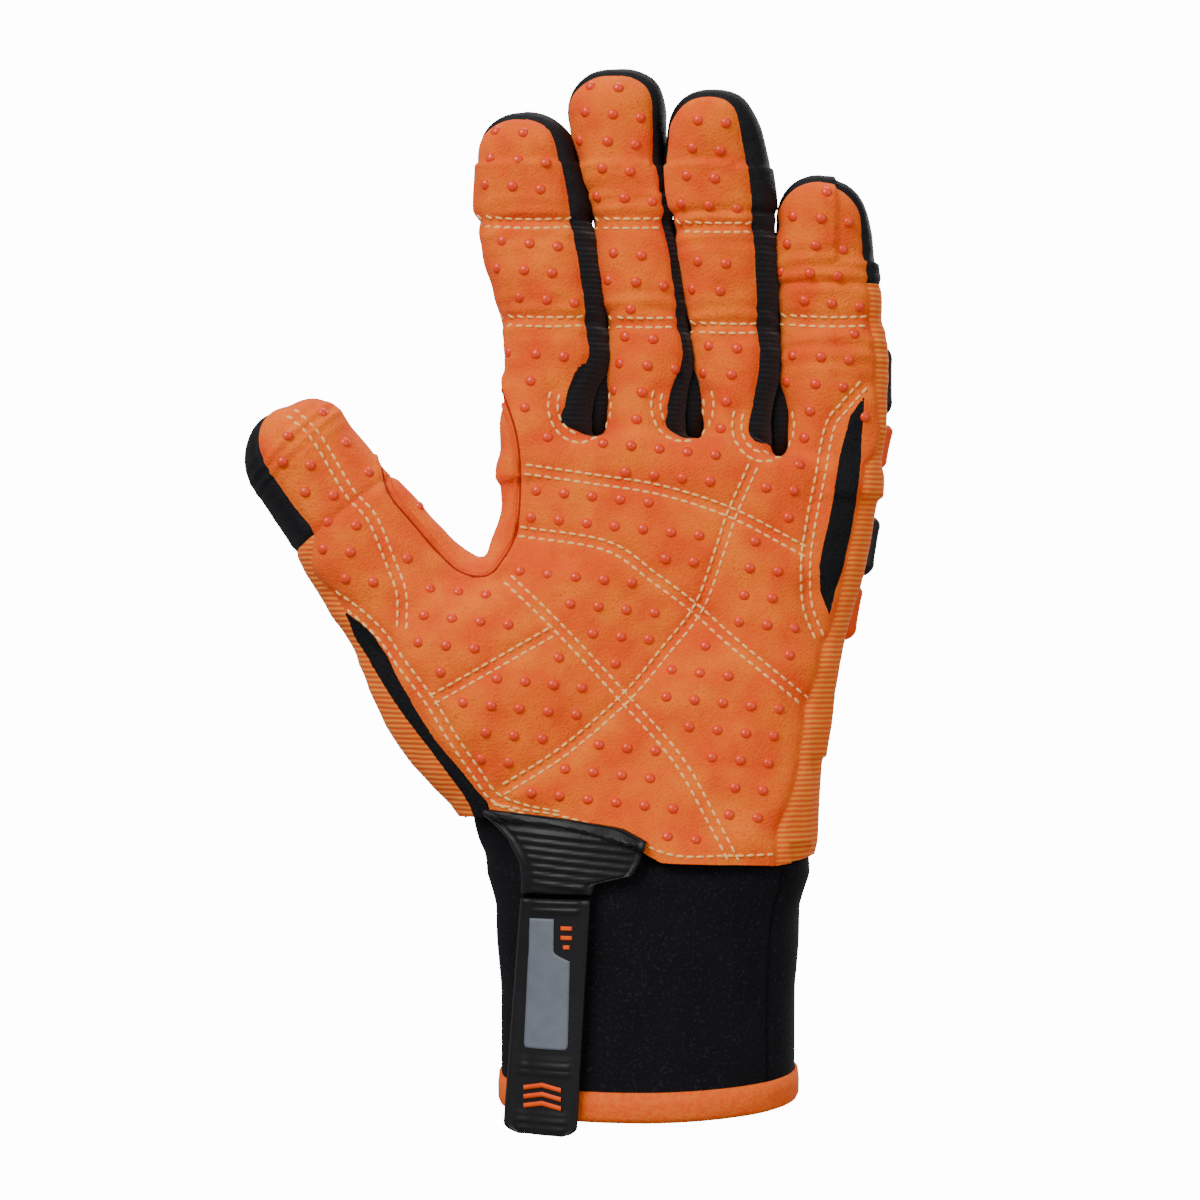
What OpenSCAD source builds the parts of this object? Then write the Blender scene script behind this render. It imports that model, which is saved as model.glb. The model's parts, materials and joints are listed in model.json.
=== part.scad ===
// Impact work glove for the left hand, fingers up, palm towards -Y.
// Origin: centre of the cuff opening. Every soft panel is a thin curved shell.

/* [Fabric] */
// Thickness of the palm, finger and back shells
shell_t = 1.6; // [1.2:0.1:2.2]
// Thickness of the neoprene cuff
cuff_t = 2.6; // [2:0.1:3.4]
// Gap between neighbouring panels of one segment
seam_gap = 0.35; // [0.3:0.05:0.6]

/* [Cuff] */
// Half width of the cuff at its narrowest
cuff_hw = 36.5; // [34:0.5:38]
// Half depth of the cuff
cuff_hd = 25; // [23:0.5:27]
// Height at which the cuff meets the hand
cuff_h = 66; // [60:1:70]
// How far the front of the hem hangs below its sides
hem_dip = 3; // [0:0.5:5]

/* [Fingers] */
// Half width of a finger stall
stall_hw = 11.3; // [10.5:0.1:11.4]
// Half depth of a finger stall
stall_hd = 11.5; // [10.5:0.1:12]
// Depth of the flexing axis behind the palm face of a finger
pivot_depth = 5; // [4:0.5:6]

/* [Bending] */
// Largest bend at the root knuckle
root_bend = 65; // [60:5:85]
// Largest bend at the middle knuckle
mid_bend = 80; // [60:5:95]
// Largest bend at the end knuckle
end_bend = 55; // [40:5:70]
// Backward bend that every knuckle allows
back_bend = 10; // [5:1:12]

/* [Guards] */
// Height of the moulded guards above the fabric
guard_h = 3.6; // [2.5:0.1:4.5]

/* [Hidden] */
FINGERS = ["index", "middle", "ring", "little"];
THUMB = 4;

suede = "#E8661C";
hi_vis = "#F58A2C";
black = "#17171B";
rubber = "#232228";
grey = "#7C8088";
foam = "#C9C4B4";

// One row a stall: root pivot [x, y, z], tip [x, z], middle and end pivots along it, curl at the
// tip. The last row is the thumb, whose end pivot is its only knuckle beyond the root.
STALLS = [
    [[-24.1, 0, 173.5], [-31.4, 247.0], 22.5, 46.0, 5],
    [[-0.3, 0, 173.0], [-8.2, 258.0], 25.0, 52.0, 6],
    [[23.4, 0, 171.0], [14.8, 251.5], 23.5, 47.5, 14],
    [[47.0, 0, 168.0], [42.0, 230.5], 21.0, 40.5, 8]];
thumb_root = [-58.5, -2, 126.0];
thumb_tip = [-94.5, 170.5];
thumb_roll = 24;
thumb_knuckle = 24;
thumb_root_bend = 45;
thumb_end_bend = 70;
section_power = 2.3;
palm_power = 2.5;
tip_round = 12;
joint_gap = 0.4;
front_half = 60;
wall_end = 122;
thumb_front_half = 80;
gap_deg = 1.6;
print_t = 0.4;
print_gap = 0.25;
palm_drop = 6.2;
back_drop = 2.6;
knit_edge = 62;
vent_bottom = 122;
vent_top = 158;
pad_t = 2.2;
pad_gap = 0.8;
binding_t = 0.9;
cuff_seam = 50;
tab_fold_z = 53;
tab_end_z = -6;
tab_t = 2.2;
tab_lean = 3.5;
tab_hw = 9;
tab_lift = 1.6;
base_lift = 0.45;
base_waist_z = 56;
base_top_z = 71;
base_top_hw = 18.5;

function unit(v) = v / norm(v);
function signed_pow(x, p) = sign(x) * pow(abs(x), p);
function is_thumb(k) = k == THUMB;
function root_of(k) = is_thumb(k) ? thumb_root : STALLS[k][0];
function tip_of(k) = is_thumb(k) ? thumb_tip : STALLS[k][1];
function rise(k) = [tip_of(k)[0] - root_of(k)[0], 0, tip_of(k)[1] - root_of(k)[2]];
function along(k) = unit(rise(k));
function reach(k) = norm(rise(k));
function flat_side(k) = [along(k)[2], 0, -along(k)[0]];
function turned(k) = is_thumb(k) ? thumb_roll : 0;
function forward(k) = cos(turned(k)) * [0, -1, 0] + sin(turned(k)) * flat_side(k);
function sideways(k) = cos(turned(k)) * flat_side(k) - sin(turned(k)) * [0, -1, 0];

// Half width and half depth of a stall at s along it, before its end is rounded
function half_w(k, s) = is_thumb(k)
    ? lookup(s, [[-12, 20], [0, 17.5], [18, 14.5], [40, 14], [60, 13.5]])
    : lookup(s, [[0, stall_hw], [45, stall_hw - 0.2], [70, stall_hw - 0.5], [90, stall_hw - 0.8]]);
function half_d(k, s) = is_thumb(k)
    ? lookup(s, [[-12, 14.5], [0, 13.5], [40, 12.5], [60, 12]])
    : lookup(s, [[0, stall_hd], [50, stall_hd - 0.3], [90, stall_hd - 0.8]]);
function curl(k, s) = (is_thumb(k) ? 4 : STALLS[k][4]) * pow(max(s, 0) / reach(k), 2);
function rounded(k, s, grow) =
    let (r = tip_round + grow, q = (s - reach(k) - grow + r) / r)
    q <= 0 ? 1 : sqrt(max(0, 1 - min(q, 0.999) * min(q, 0.999)));

// Point of a stall's skin: k stall, s along, t angle from the palm side, grow outward offset
function skin(k, s, t, grow) =
    let (r = rounded(k, s, grow),
         side = (half_w(k, s) + grow) * r * signed_pow(sin(t), 2 / section_power),
         fore = curl(k, s) + (half_d(k, s) + grow) * r * signed_pow(cos(t), 2 / section_power))
    root_of(k) + along(k) * s + sideways(k) * side + forward(k) * fore;
function fore_of(k, s, t) =
    curl(k, s) + half_d(k, s) * signed_pow(cos(t), 2 / section_power);
function pivot_fore(k, s) = curl(k, s) + half_d(k, s) - pivot_depth;

// How far a shell stays from a pivot at s, so that it clears its neighbour over the whole bend
function clear_of(k, s, t, bend) =
    let (q = fore_of(k, s, t) - pivot_fore(k, s))
    joint_gap + (q > 0 ? q * tan(bend / 2) : -q * tan(back_bend / 2));

// Closed solid between two grids of points with the same rows and columns
module shell(outer, inner, ring = false) {
    rows = len(outer);
    cols = len(outer[0]);
    half = rows * cols;
    last = ring ? cols - 1 : cols - 2;
    points = concat([for (r = outer) each r], [for (r = inner) each r]);
    function at(j, i) = j * cols + (i % cols);
    faces = concat(
        [for (j = [0:rows - 2]) for (i = [0:last]) each
            [[at(j, i), at(j + 1, i), at(j, i + 1)],
             [at(j, i + 1), at(j + 1, i), at(j + 1, i + 1)]]],
        [for (j = [0:rows - 2]) for (i = [0:last]) each
            [[half + at(j, i), half + at(j, i + 1), half + at(j + 1, i)],
             [half + at(j, i + 1), half + at(j + 1, i + 1), half + at(j + 1, i)]]],
        [for (i = [0:last]) each
            [[at(0, i), at(0, i + 1), half + at(0, i)],
             [at(0, i + 1), half + at(0, i + 1), half + at(0, i)]]],
        [for (i = [0:last]) each
            [[at(rows - 1, i), half + at(rows - 1, i), at(rows - 1, i + 1)],
             [at(rows - 1, i + 1), half + at(rows - 1, i), half + at(rows - 1, i + 1)]]],
        ring ? [] : [for (j = [0:rows - 2]) each
            [[at(j, 0), half + at(j, 0), at(j + 1, 0)],
             [at(j + 1, 0), half + at(j, 0), half + at(j + 1, 0)]]],
        ring ? [] : [for (j = [0:rows - 2]) each
            [[at(j, cols - 1), at(j + 1, cols - 1), half + at(j, cols - 1)],
             [at(j + 1, cols - 1), half + at(j + 1, cols - 1), half + at(j, cols - 1)]]]);
    polyhedron(points = points, faces = faces, convexity = 8);
}

// Shell of one stall segment: t0..t1 angles, s0 and s1 pivots, bend0 and bend1 their largest
// bends (0 where the shell runs to the closed tip), low and high offsets of its two faces
module segment(k, t0, t1, s0, s1, bend0, bend1, low, high, cols = 8, rows = 4) {
    function s_at(t, v) =
        let (a = s0 + clear_of(k, s0, t, bend0),
             b = bend1 > 0 ? s1 - clear_of(k, s1, t, bend1) : reach(k) - 0.02)
        bend1 > 0 ? a + (b - a) * v : a + (b - a) * (1 - pow(1 - v, 2));
    function grid(grow) = [for (j = [0:rows]) [for (i = [0:cols])
        let (t = t0 + (t1 - t0) * i / cols) skin(k, s_at(t, j / rows), t, grow)]];
    shell(grid(high), grid(low));
}

// Moulded guard on the back of a stall, with bevelled ends
module guard(k, s0, s1, spread, lift = guard_h, cols = 6) {
    function raised(v, i) = min(1, 4 * min(v, 1 - v) + 0.25) * min(1, 3 * min(i, cols - i) / cols + 0.35);
    outer = [for (j = [0:6]) [for (i = [0:cols])
        skin(k, s0 + (s1 - s0) * j / 6, 180 + spread * (2 * i / cols - 1),
             seam_gap + 0.6 + (lift - 0.6) * raised(j / 6, i))]];
    inner = [for (j = [0:6]) [for (i = [0:cols])
        skin(k, s0 + (s1 - s0) * j / 6, 180 + spread * (2 * i / cols - 1), seam_gap)]];
    shell(outer, inner);
}

function mid_s(k) = STALLS[k][2];
function end_s(k) = STALLS[k][3];

module base_front(k) {
    color(suede) segment(k, -front_half, front_half, 0, mid_s(k), root_bend, mid_bend, -shell_t, 0);
}
module base_walls(k) {
    color(black) {
        segment(k, front_half + gap_deg, wall_end, 0, mid_s(k), root_bend, mid_bend, -shell_t, 0, 4);
        segment(k, -wall_end, -front_half - gap_deg, 0, mid_s(k), root_bend, mid_bend, -shell_t, 0, 4);
    }
}
module base_back(k) {
    color(hi_vis) segment(k, wall_end + gap_deg, 360 - wall_end - gap_deg, 0, mid_s(k),
                          root_bend, mid_bend, -shell_t, 0, 6);
}
module mid_front(k) {
    color(suede) segment(k, -front_half, front_half, mid_s(k), end_s(k), mid_bend, end_bend, -shell_t, 0);
}
module mid_back(k) {
    color(hi_vis) segment(k, front_half + gap_deg, 360 - front_half - gap_deg, mid_s(k), end_s(k),
                          mid_bend, end_bend, -shell_t, 0, 12);
}
module tip_front(k) {
    color(suede) segment(k, -front_half, front_half, end_s(k), reach(k), end_bend, 0, -shell_t, 0, 8, 7);
}
module tip_cap(k) {
    color(black) segment(k, front_half + gap_deg, 360 - front_half - gap_deg, end_s(k), reach(k),
                         end_bend, 0, -shell_t, 0, 12, 7);
}
module base_guard(k) { color(rubber) guard(k, 4, mid_s(k) - 4, 52); }
module mid_guard(k) { color(rubber) guard(k, mid_s(k) + 4, end_s(k) - 4, 48); }

// The hand between the cuff and the knuckles. Each row: height, left edge, right edge, half depth
function hand_left(z) = lookup(z, [[66, -41.5], [75, -48], [85, -57.5], [95, -66], [104, -71.5],
    [110, -72.5], [120, -65], [128, -52], [136, -38.5], [150, -36.5], [175, -36]]);
function hand_right(z) = lookup(z, [[66, 41.5], [85, 42.8], [101, 45.8], [120, 49.8], [135, 54],
    [150, 56.5], [165, 58.4], [175, 59.2]]);
function hand_depth(z) = lookup(z, [[66, 25], [85, 21], [110, 19], [135, 16.5], [160, 13.5], [175, 12.5]]);
function knuckle_z(x) = lookup(x, [for (s = STALLS) [s[0][0], s[0][2]]]);
function hand_mid(z) = (hand_left(z) + hand_right(z)) / 2;
function hand_hw(z) = (hand_right(z) - hand_left(z)) / 2;
function hand_skin(z, t, grow) =
    [hand_mid(z) + (hand_hw(z) + grow) * signed_pow(sin(t), 2 / palm_power),
     -(hand_depth(z) + grow) * signed_pow(cos(t), 2 / palm_power), z];

// Edge of the thumb opening: the hand's skin stops short of this x between its two heights
opening_low = [-72.5, 108];
opening_high = [-38, 137];
function opening_x(z) = opening_low[0]
    + (opening_high[0] - opening_low[0]) * (z - opening_low[1]) / (opening_high[1] - opening_low[1]);
function open_at(z) = z > opening_low[1] && z < opening_high[1];
function side_limit(z) = !open_at(z) ? 90
    : asin(pow(min(1, max(0.2, (hand_mid(z) - opening_x(z)) / hand_hw(z))), palm_power / 2));

// Shell of the hand from angle t0 to t1 and from z0 to the knuckles. from_thumb and to_thumb say
// which of its two edges gives way to the thumb opening
module hand_shell(t0, t1, z0, from_thumb = false, to_thumb = false, cols = 14, rows = 16) {
    function top(t) = knuckle_z(hand_skin(165, t, 0)[0]) - (abs(t) < 90 ? palm_drop : back_drop);
    function spot(i, j, grow) =
        let (z = z0 + (top(t0 + (t1 - t0) * i / cols) - z0) * j / rows,
             a = from_thumb ? gap_deg - side_limit(z) : t0,
             b = to_thumb ? 180 + side_limit(z) - gap_deg : t1)
        hand_skin(z, a + (b - a) * i / cols, grow);
    function grid(grow) = [for (j = [0:rows]) [for (i = [0:cols]) spot(i, j, grow)]];
    shell(grid(0), grid(-shell_t));
}

module palm_panel() {
    color(suede) hand_shell(-90 + gap_deg, knit_edge, cuff_h + joint_gap, from_thumb = true);
}
module back_panel() {
    color(hi_vis) hand_shell(90 + gap_deg, 270 - gap_deg, cuff_h + joint_gap, to_thumb = true);
}
module little_side_knit() {
    color(hi_vis) hand_shell(knit_edge + gap_deg, 90 - gap_deg, cuff_h + joint_gap, cols = 3, rows = 12);
}
// Patch on the hand between two angles and two heights, which may narrow to points at both ends
module strip(t0, t1, z0, z1, low, high, cols, rows, taper = false) {
    function half_way(v) = taper ? max(0.08, sin(180 * v)) : 1;
    function grid(grow) = [for (j = [0:rows]) [for (i = [0:cols])
        let (v = j / rows, z = z0 + (z1 - z0) * v, m = (t0 + t1) / 2, h = (t1 - t0) / 2 * half_way(v))
        hand_skin(z, m + h * (2 * i / cols - 1), grow)]];
    shell(grid(high), grid(low));
}
module thumb_side_knit() {
    color(hi_vis) strip(-89, -66, cuff_h + 3, 103, seam_gap, 1.5, 3, 8);
}
module little_side_vent() {
    color(black) strip(38, 58, vent_bottom, vent_top, seam_gap, 0.9, 4, 8, taper = true);
}
module thumb_side_vent() {
    color(black) strip(-64, -52, cuff_h + 6, 102, seam_gap, 0.9, 3, 8, taper = true);
}
module palm_padding() {
    color(foam) strip(-42, 30, 76, 150, -shell_t - pad_gap - pad_t, -shell_t - pad_gap, 14, 12);
}

// Saddle between thumb and first finger: a thin band around the corner of the opening
module thumb_crotch_patch() {
    color(suede) strip(-88, -70, 138, 164, seam_gap, 1.3, 4, 6);
}

// Guards on the back of the hand: four knuckle pads, and long pads over the hand's bones
module back_pad(x0, x1, z0, z1, lift) {
    function angle_at(x, z) =
        180 - asin(signed_pow(max(-0.98, min(0.98, (x - hand_mid(z)) / hand_hw(z))), palm_power / 2));
    function raised(v, u) = min(1, 4 * min(v, 1 - v) + 0.25) * min(1, 4 * min(u, 1 - u) + 0.3);
    function grid(low) = [for (j = [0:5]) [for (i = [0:5])
        let (u = i / 5, v = j / 5, z = z0 + (z1 - z0) * v, x = x1 + (x0 - x1) * u)
        hand_skin(z, angle_at(x, z), seam_gap + (low ? 0 : 0.6 + (lift - 0.6) * raised(v, u)))]];
    shell(grid(false), grid(true));
}
module knuckle_guard() {
    color(rubber) for (s = STALLS)
        back_pad(s[0][0] - 10.6, s[0][0] + (s[0][0] > 40 ? 8.2 : 10.6), 141, 160, guard_h + 2);
}
module hand_back_guard() {
    color(rubber) for (k = [0:3]) {
        x = STALLS[k][0][0] * 0.86 + 1;
        back_pad(x - 8.4, x + 8.4, 96 + 3 * k, 137, guard_h);
    }
}

// Neoprene cuff, open at both ends
function cuff_w(z) = cuff_hw + lookup(z, [[-5, 0], [30, 0], [50, 1.5], [61, 3.6], [66, 5]]);
function cuff_d(z) = cuff_hd + lookup(z, [[-5, 1], [30, -0.6], [66, 0]]);
function cuff_power(z) = lookup(z, [[40, section_power], [66, palm_power]]);
function hem_z(t) = -hem_dip * cos(t);
function cuff_skin(z, t, grow) =
    [(cuff_w(z) + grow) * signed_pow(sin(t), 2 / cuff_power(z)),
     -(cuff_d(z) + grow) * signed_pow(cos(t), 2 / cuff_power(z)), z];
module cuff_shell(t0, t1, cols) {
    function bottom(t) = hem_z(t) + 2.6;
    function grid(grow) = [for (j = [0:8]) [for (i = [0:cols])
        let (t = t0 + (t1 - t0) * i / cols)
        cuff_skin(bottom(t) + (cuff_h - bottom(t)) * j / 8, t, grow)]];
    shell(grid(0), grid(-cuff_t));
}
module cuff_front() { color(black) cuff_shell(-90, cuff_seam - 0.4, 20); }
module cuff_back() { color(black) cuff_shell(cuff_seam + 0.4, 269.2, 26); }

// Binding folded over the hem: each row is a height above the hem and an offset
module cuff_binding() {
    function ring_at(drop, grow) = [for (i = [0:39]) cuff_skin(hem_z(9 * i) + drop, 9 * i, grow)];
    function rows(edge, face) = [ring_at(-1.6, edge), ring_at(-0.6, face), ring_at(2.2, face)];
    color(hi_vis) shell(rows(0, binding_t), rows(-cuff_t + 0.2, -cuff_t - binding_t), true);
}

// Moulded pull tab: a wide ribbed base fixed over the cuff's top edge, and a strap that lifts at it
function tab_x(z) = -23.4 + (z - tab_fold_z) * tan(tab_lean);
function front_of(x, z, grow) =
    let (on_hand = z > cuff_h, w = on_hand ? hand_hw(z) : cuff_w(z), d = on_hand ? hand_depth(z) : cuff_d(z),
         q = min(0.97, abs(x - (on_hand ? hand_mid(z) : 0)) / (w + grow)), p = cuff_power(z))
    -(d + grow) * pow(1 - pow(q, p), 1 / p);
module tab_patch(z0, z1, hw0, hw1, low, high, shift = 0, cols = 6, rows = 5) {
    function grid(grow) = [for (j = [0:rows]) [for (i = [0:cols])
        let (v = j / rows, z = z0 + (z1 - z0) * v, h = hw0 + (hw1 - hw0) * v,
             x = tab_x(z) + shift + h * (2 * i / cols - 1))
        [x, front_of(x, max(z, 0), grow), z]]];
    shell(grid(high), grid(low));
}
module printed(z0, z1, half) {
    high = tab_lift + tab_t + print_gap;
    color(half > 5 ? grey : hi_vis) tab_patch(z0, z1, half, half, high, high + print_t, rows = 4);
}
module pull_tab_base() {
    high = base_lift + tab_t;
    color(rubber) {
        tab_patch(tab_fold_z + joint_gap, base_waist_z, tab_hw, tab_hw + 1, base_lift, high);
        tab_patch(base_waist_z + 0.04, base_top_z, tab_hw + 1, base_top_hw, base_lift, high, 2, 14, 8);
    }
}
module pull_tab_strap() {
    high = tab_lift + tab_t;
    color(rubber) tab_patch(tab_end_z, tab_fold_z, tab_hw - 0.4, tab_hw, tab_lift, high, 0, 8, 10);
}
module id_window() { printed(14, 45, 6); }
module pull_mark() { for (n = [0:2]) printed(1 + 3 * n, 2.6 + 3 * n, 4); }

// Thumb: its root joint swings the whole stall, its end joint bends the tip
module thumb_base(t0, t1, cols) {
    segment(THUMB, t0, t1, 0, thumb_knuckle, thumb_root_bend, thumb_end_bend, -shell_t, 0, cols);
}
module thumb_end(t0, t1, cols) {
    segment(THUMB, t0, t1, thumb_knuckle, reach(THUMB), thumb_end_bend, 0, -shell_t, 0, cols, 7);
}
thumb_back = thumb_front_half + gap_deg;
module thumb_base_front() { color(suede) thumb_base(-thumb_front_half, thumb_front_half, 10); }
module thumb_base_back() { color(hi_vis) thumb_base(thumb_back, 360 - thumb_back, 12); }
module thumb_tip_front() { color(suede) thumb_end(-thumb_front_half, thumb_front_half, 10); }
module thumb_tip_cap() { color(black) thumb_end(thumb_back, 360 - thumb_back, 12); }
module thumb_guard() { color(rubber) guard(THUMB, 3.5, thumb_knuckle - 3.5, 50); }

palm_panel();
back_panel();
little_side_knit();
thumb_side_knit();
little_side_vent();
thumb_side_vent();
thumb_crotch_patch();
palm_padding();
knuckle_guard();
hand_back_guard();
cuff_front();
cuff_back();
cuff_binding();
pull_tab_base();
pull_tab_strap();
id_window();
pull_mark();
thumb_base_front();
thumb_base_back();
thumb_guard();
thumb_tip_front();
thumb_tip_cap();
for (k = [0:3]) {
    base_front(k);
    base_walls(k);
    base_back(k);
    base_guard(k);
    mid_front(k);
    mid_back(k);
    mid_guard(k);
    tip_front(k);
    tip_cap(k);
}
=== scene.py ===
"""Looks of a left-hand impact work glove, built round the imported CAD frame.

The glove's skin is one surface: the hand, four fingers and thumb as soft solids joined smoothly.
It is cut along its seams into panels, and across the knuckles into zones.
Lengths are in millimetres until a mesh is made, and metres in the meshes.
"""
import json
import math

import bpy
import numpy as np
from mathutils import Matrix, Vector
from mathutils.bvhtree import BVHTree


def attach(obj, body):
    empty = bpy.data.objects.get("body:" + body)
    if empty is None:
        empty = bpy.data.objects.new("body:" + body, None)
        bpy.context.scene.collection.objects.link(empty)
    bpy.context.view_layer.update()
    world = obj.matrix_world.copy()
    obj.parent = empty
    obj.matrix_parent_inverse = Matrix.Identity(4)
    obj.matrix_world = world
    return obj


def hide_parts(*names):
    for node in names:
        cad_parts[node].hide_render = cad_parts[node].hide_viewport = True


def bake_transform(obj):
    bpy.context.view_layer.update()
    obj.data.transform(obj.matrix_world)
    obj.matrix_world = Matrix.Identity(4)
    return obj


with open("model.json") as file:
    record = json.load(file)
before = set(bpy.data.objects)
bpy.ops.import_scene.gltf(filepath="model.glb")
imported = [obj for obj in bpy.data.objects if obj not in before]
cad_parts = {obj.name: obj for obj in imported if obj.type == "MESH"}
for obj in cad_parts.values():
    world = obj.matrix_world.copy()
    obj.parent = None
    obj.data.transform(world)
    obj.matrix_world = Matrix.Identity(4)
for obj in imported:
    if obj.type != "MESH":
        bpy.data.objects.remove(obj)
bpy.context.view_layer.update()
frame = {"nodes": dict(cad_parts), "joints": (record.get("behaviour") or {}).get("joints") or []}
MM = 0.001
STEP = 0.85
NAMES = ("index", "middle", "ring", "little")

# ---------------- shape of the glove on the hand
# Finger: (height, left edge, right edge) rows, top, half depth, forward curl at the top,
# left and right seam angles as (height, degrees) from the middle of the palm side
FINGERS = {
    "index": dict(
        rows=[(160, -36.6, -13.0), (172, -36.4, -14.2), (187, -35.7, -9.7), (199, -37.6, -10.9),
              (211, -40.4, -12.7), (223, -43.2, -14.3), (235, -42.8, -17.4), (247, -42.4, -19)],
        top=247.0, depth=11.6, curl=5, left=[(160, -96), (250, -96)],
        right=[(168, 12), (173, 17), (186, 30), (240, 33)]),
    "middle": dict(
        rows=[(160, -11.2, 10.0), (172, -10.4, 9.2), (187, -9.1, 10.9), (199, -10.2, 9.1),
              (211, -12.0, 7.2), (223, -13.6, 5.2), (235, -17.0, 3.6), (247, -20.0, 4.4)],
        top=258.0, depth=11.6, curl=6, left=[(160, -88), (250, -88)],
        right=[(168, 24), (173, 29), (186, 40), (240, 44)]),
    "ring": dict(
        rows=[(160, 13.4, 30.8), (170, 13.0, 30.4), (187, 11.7, 32.4), (199, 9.8, 31.9),
              (211, 8.0, 31.3), (223, 6.0, 30.9), (235, 4.2, 29.4), (247, 4.4, 27)],
        top=251.5, depth=11.6, curl=14, left=[(160, -84), (250, -84)],
        right=[(164, 18), (185, 24), (240, 27)]),
    "little": dict(
        rows=[(156, 34.6, 57.0), (168, 34.2, 59.2), (181, 33.5, 59.6), (193, 33.2, 59.0),
              (205, 32.6, 57.6), (217, 31.8, 55.8), (230, 32.0, 53.2)],
        top=230.5, depth=11.2, curl=8, left=[(160, -80), (250, -80)],
        right=[(160, 62), (180, 46), (205, 43), (220, 50)]),
}
ROOT_Z = {"index": 173.5, "middle": 173.0, "ring": 171.0, "little": 168.0}
OPEN = {"index": -6.0, "middle": -2.0, "ring": 2.0, "little": 6.0}
# How far each stall's left and right side presses towards its neighbour
PRESS = {"index": (0, 0.75), "middle": (0.65, 0.8), "ring": (0.8, 0.85), "little": (0.85, 0)}
# Heights between which the fingers are drawn apart while the skin is made
PARTING = (167, 188)
TIP_R = 11.0
HAND_LEFT = [(50, -38.8), (58, -40.2), (66, -42.0), (75, -47.8), (85, -57), (95, -63.4),
             (104, -67.5), (110, -68.5), (120, -63), (128, -52), (136, -39.5), (150, -36.6), (170, -36.2)]
HAND_RIGHT = [(50, 38.8), (58, 40.2), (66, 41.4), (85, 42.0), (101, 45.0), (120, 49.6), (135, 54),
              (150, 56.5), (165, 58.4), (175, 59.2)]
HAND_DEPTH = [(50, 26.2), (66, 25.6), (85, 21), (110, 19), (135, 16.5), (160, 13.6), (175, 12.5)]
HAND_TOP = [(-37, 161), (-12, 166.5), (11, 166.5), (32, 161.5), (58, 158)]
# Soft rises and hollows of the palm: x, z, radius x, radius z, height
PALM_FORM = [(-46, 106, 20, 24, 4.2), (30, 92, 17, 30, 2.8), (2, 118, 20, 24, -3.4),
             (10, 158, 34, 8, 1.4), (-4, 74, 24, 8, -1.0)]
BACK_FORM = [(-24, 162, 8, 10, 2.2), (0, 162, 8, 10, 2.4), (23, 160, 8, 10, 2.2), (45, 158, 8, 9, 1.8)]
THUMB_ROOT = np.array([-58.5, -2.0, 126.0])
THUMB_LEFT = [(-24, 18.5), (-4, 18.6), (10, 18.2), (22, 16.6), (30, 15.1), (45, 14.3)]
THUMB_RIGHT = [(-12, 19), (2, 17.2), (19, 16.0), (30, 15.0), (45, 14.3)]
THUMB_DEPTH = [(-24, 15), (0, 13.6), (40, 12.4)]
THUMB_END = 44.3
THUMB_R = 14.2
THUMB_ROLL = math.radians(24)
# The skin is the thumb's only left of this x and below this height
THUMB_X, THUMB_TOP = -37.6, 181


def look(rows, v, column=1):
    """Value at v on straight lines between the rows, read from one column."""
    return np.interp(v, [r[0] for r in rows], [r[column] for r in rows])


def signed(v, power):
    """v to a power, with its sign kept."""
    return np.sign(v) * np.abs(v) ** power


def smooth(v, low, high):
    """0 below low, 1 above high, and a smooth rise between them."""
    t = np.clip((v - low) / (high - low), 0, 1)
    return t * t * (3 - 2 * t)


def smooth_min(a, b, k):
    """The smaller of a and b, blended over a width of k."""
    h = np.clip(0.5 + 0.5 * (b - a) / k, 0, 1)
    return b + (a - b) * h - k * h * (1 - h)


def bumps(forms, x, z):
    """Height of the soft rises and hollows at x, z."""
    total = 0
    for cx, cz, rx, rz, height in forms:
        total = total + height * np.exp(-((x - cx) / rx) ** 2 - ((z - cz) / rz) ** 2)
    return total


def finger_frame(name, p):
    """Sideways, forward and dome shares of points in a finger's own section (1 is its skin)."""
    f = FINGERS[name]
    z = np.clip(p[:, 2], f["rows"][0][0], f["top"])
    left, right = look(f["rows"], z), look(f["rows"], z, 2)
    press = smooth(z, 174, 183) * (1 - smooth(z, f["top"] - 22, f["top"] - 6))
    left, right = left - PRESS[name][0] * press, right + PRESS[name][1] * press
    half = (right - left) / 2
    s = np.clip((p[:, 2] - ROOT_Z[name]) / (f["top"] - ROOT_Z[name]), 0, 1.1)
    depth = f["depth"] - 1.0 * s
    side = (p[:, 0] - (left + right) / 2) / half
    fore = (-p[:, 1] - f["curl"] * s ** 2) / depth
    up = np.maximum(0, p[:, 2] - (f["top"] - TIP_R)) / TIP_R
    return side, fore, up, half


def finger_field(name, p):
    """Below 0 inside a finger, with a domed tip."""
    side, fore, up, half = finger_frame(name, p)
    section = (np.abs(side) ** 2.45 + np.abs(fore) ** 2.45) ** (1 / 2.45)
    body = ((section ** 2.3 + up ** 2.3) ** (1 / 2.3) - 1) * 11.0
    return np.maximum(body, FINGERS[name]["rows"][0][0] - 3 - p[:, 2])


ALONG = np.array([-0.629, 0, 0.777])
FLAT = np.array([0.777, 0, 0.629])
FORE = math.cos(THUMB_ROLL) * np.array([0, -1, 0]) + math.sin(THUMB_ROLL) * FLAT
SIDE = math.cos(THUMB_ROLL) * FLAT - math.sin(THUMB_ROLL) * np.array([0, -1, 0])


def thumb_frame(p):
    """Distance along the thumb, then its section's shares as in finger_frame."""
    q = p - THUMB_ROOT
    s, across, fore = q @ ALONG, q @ SIDE, q @ FORE
    half = np.where(across < 0, look(THUMB_LEFT, s), look(THUMB_RIGHT, s))
    depth = look(THUMB_DEPTH, s)
    curl = 4 * (np.maximum(s, 0) / 57.0) ** 2
    up = np.maximum(0, s - THUMB_END) / THUMB_R
    return s, across / half, (fore - curl) / depth, up


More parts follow.
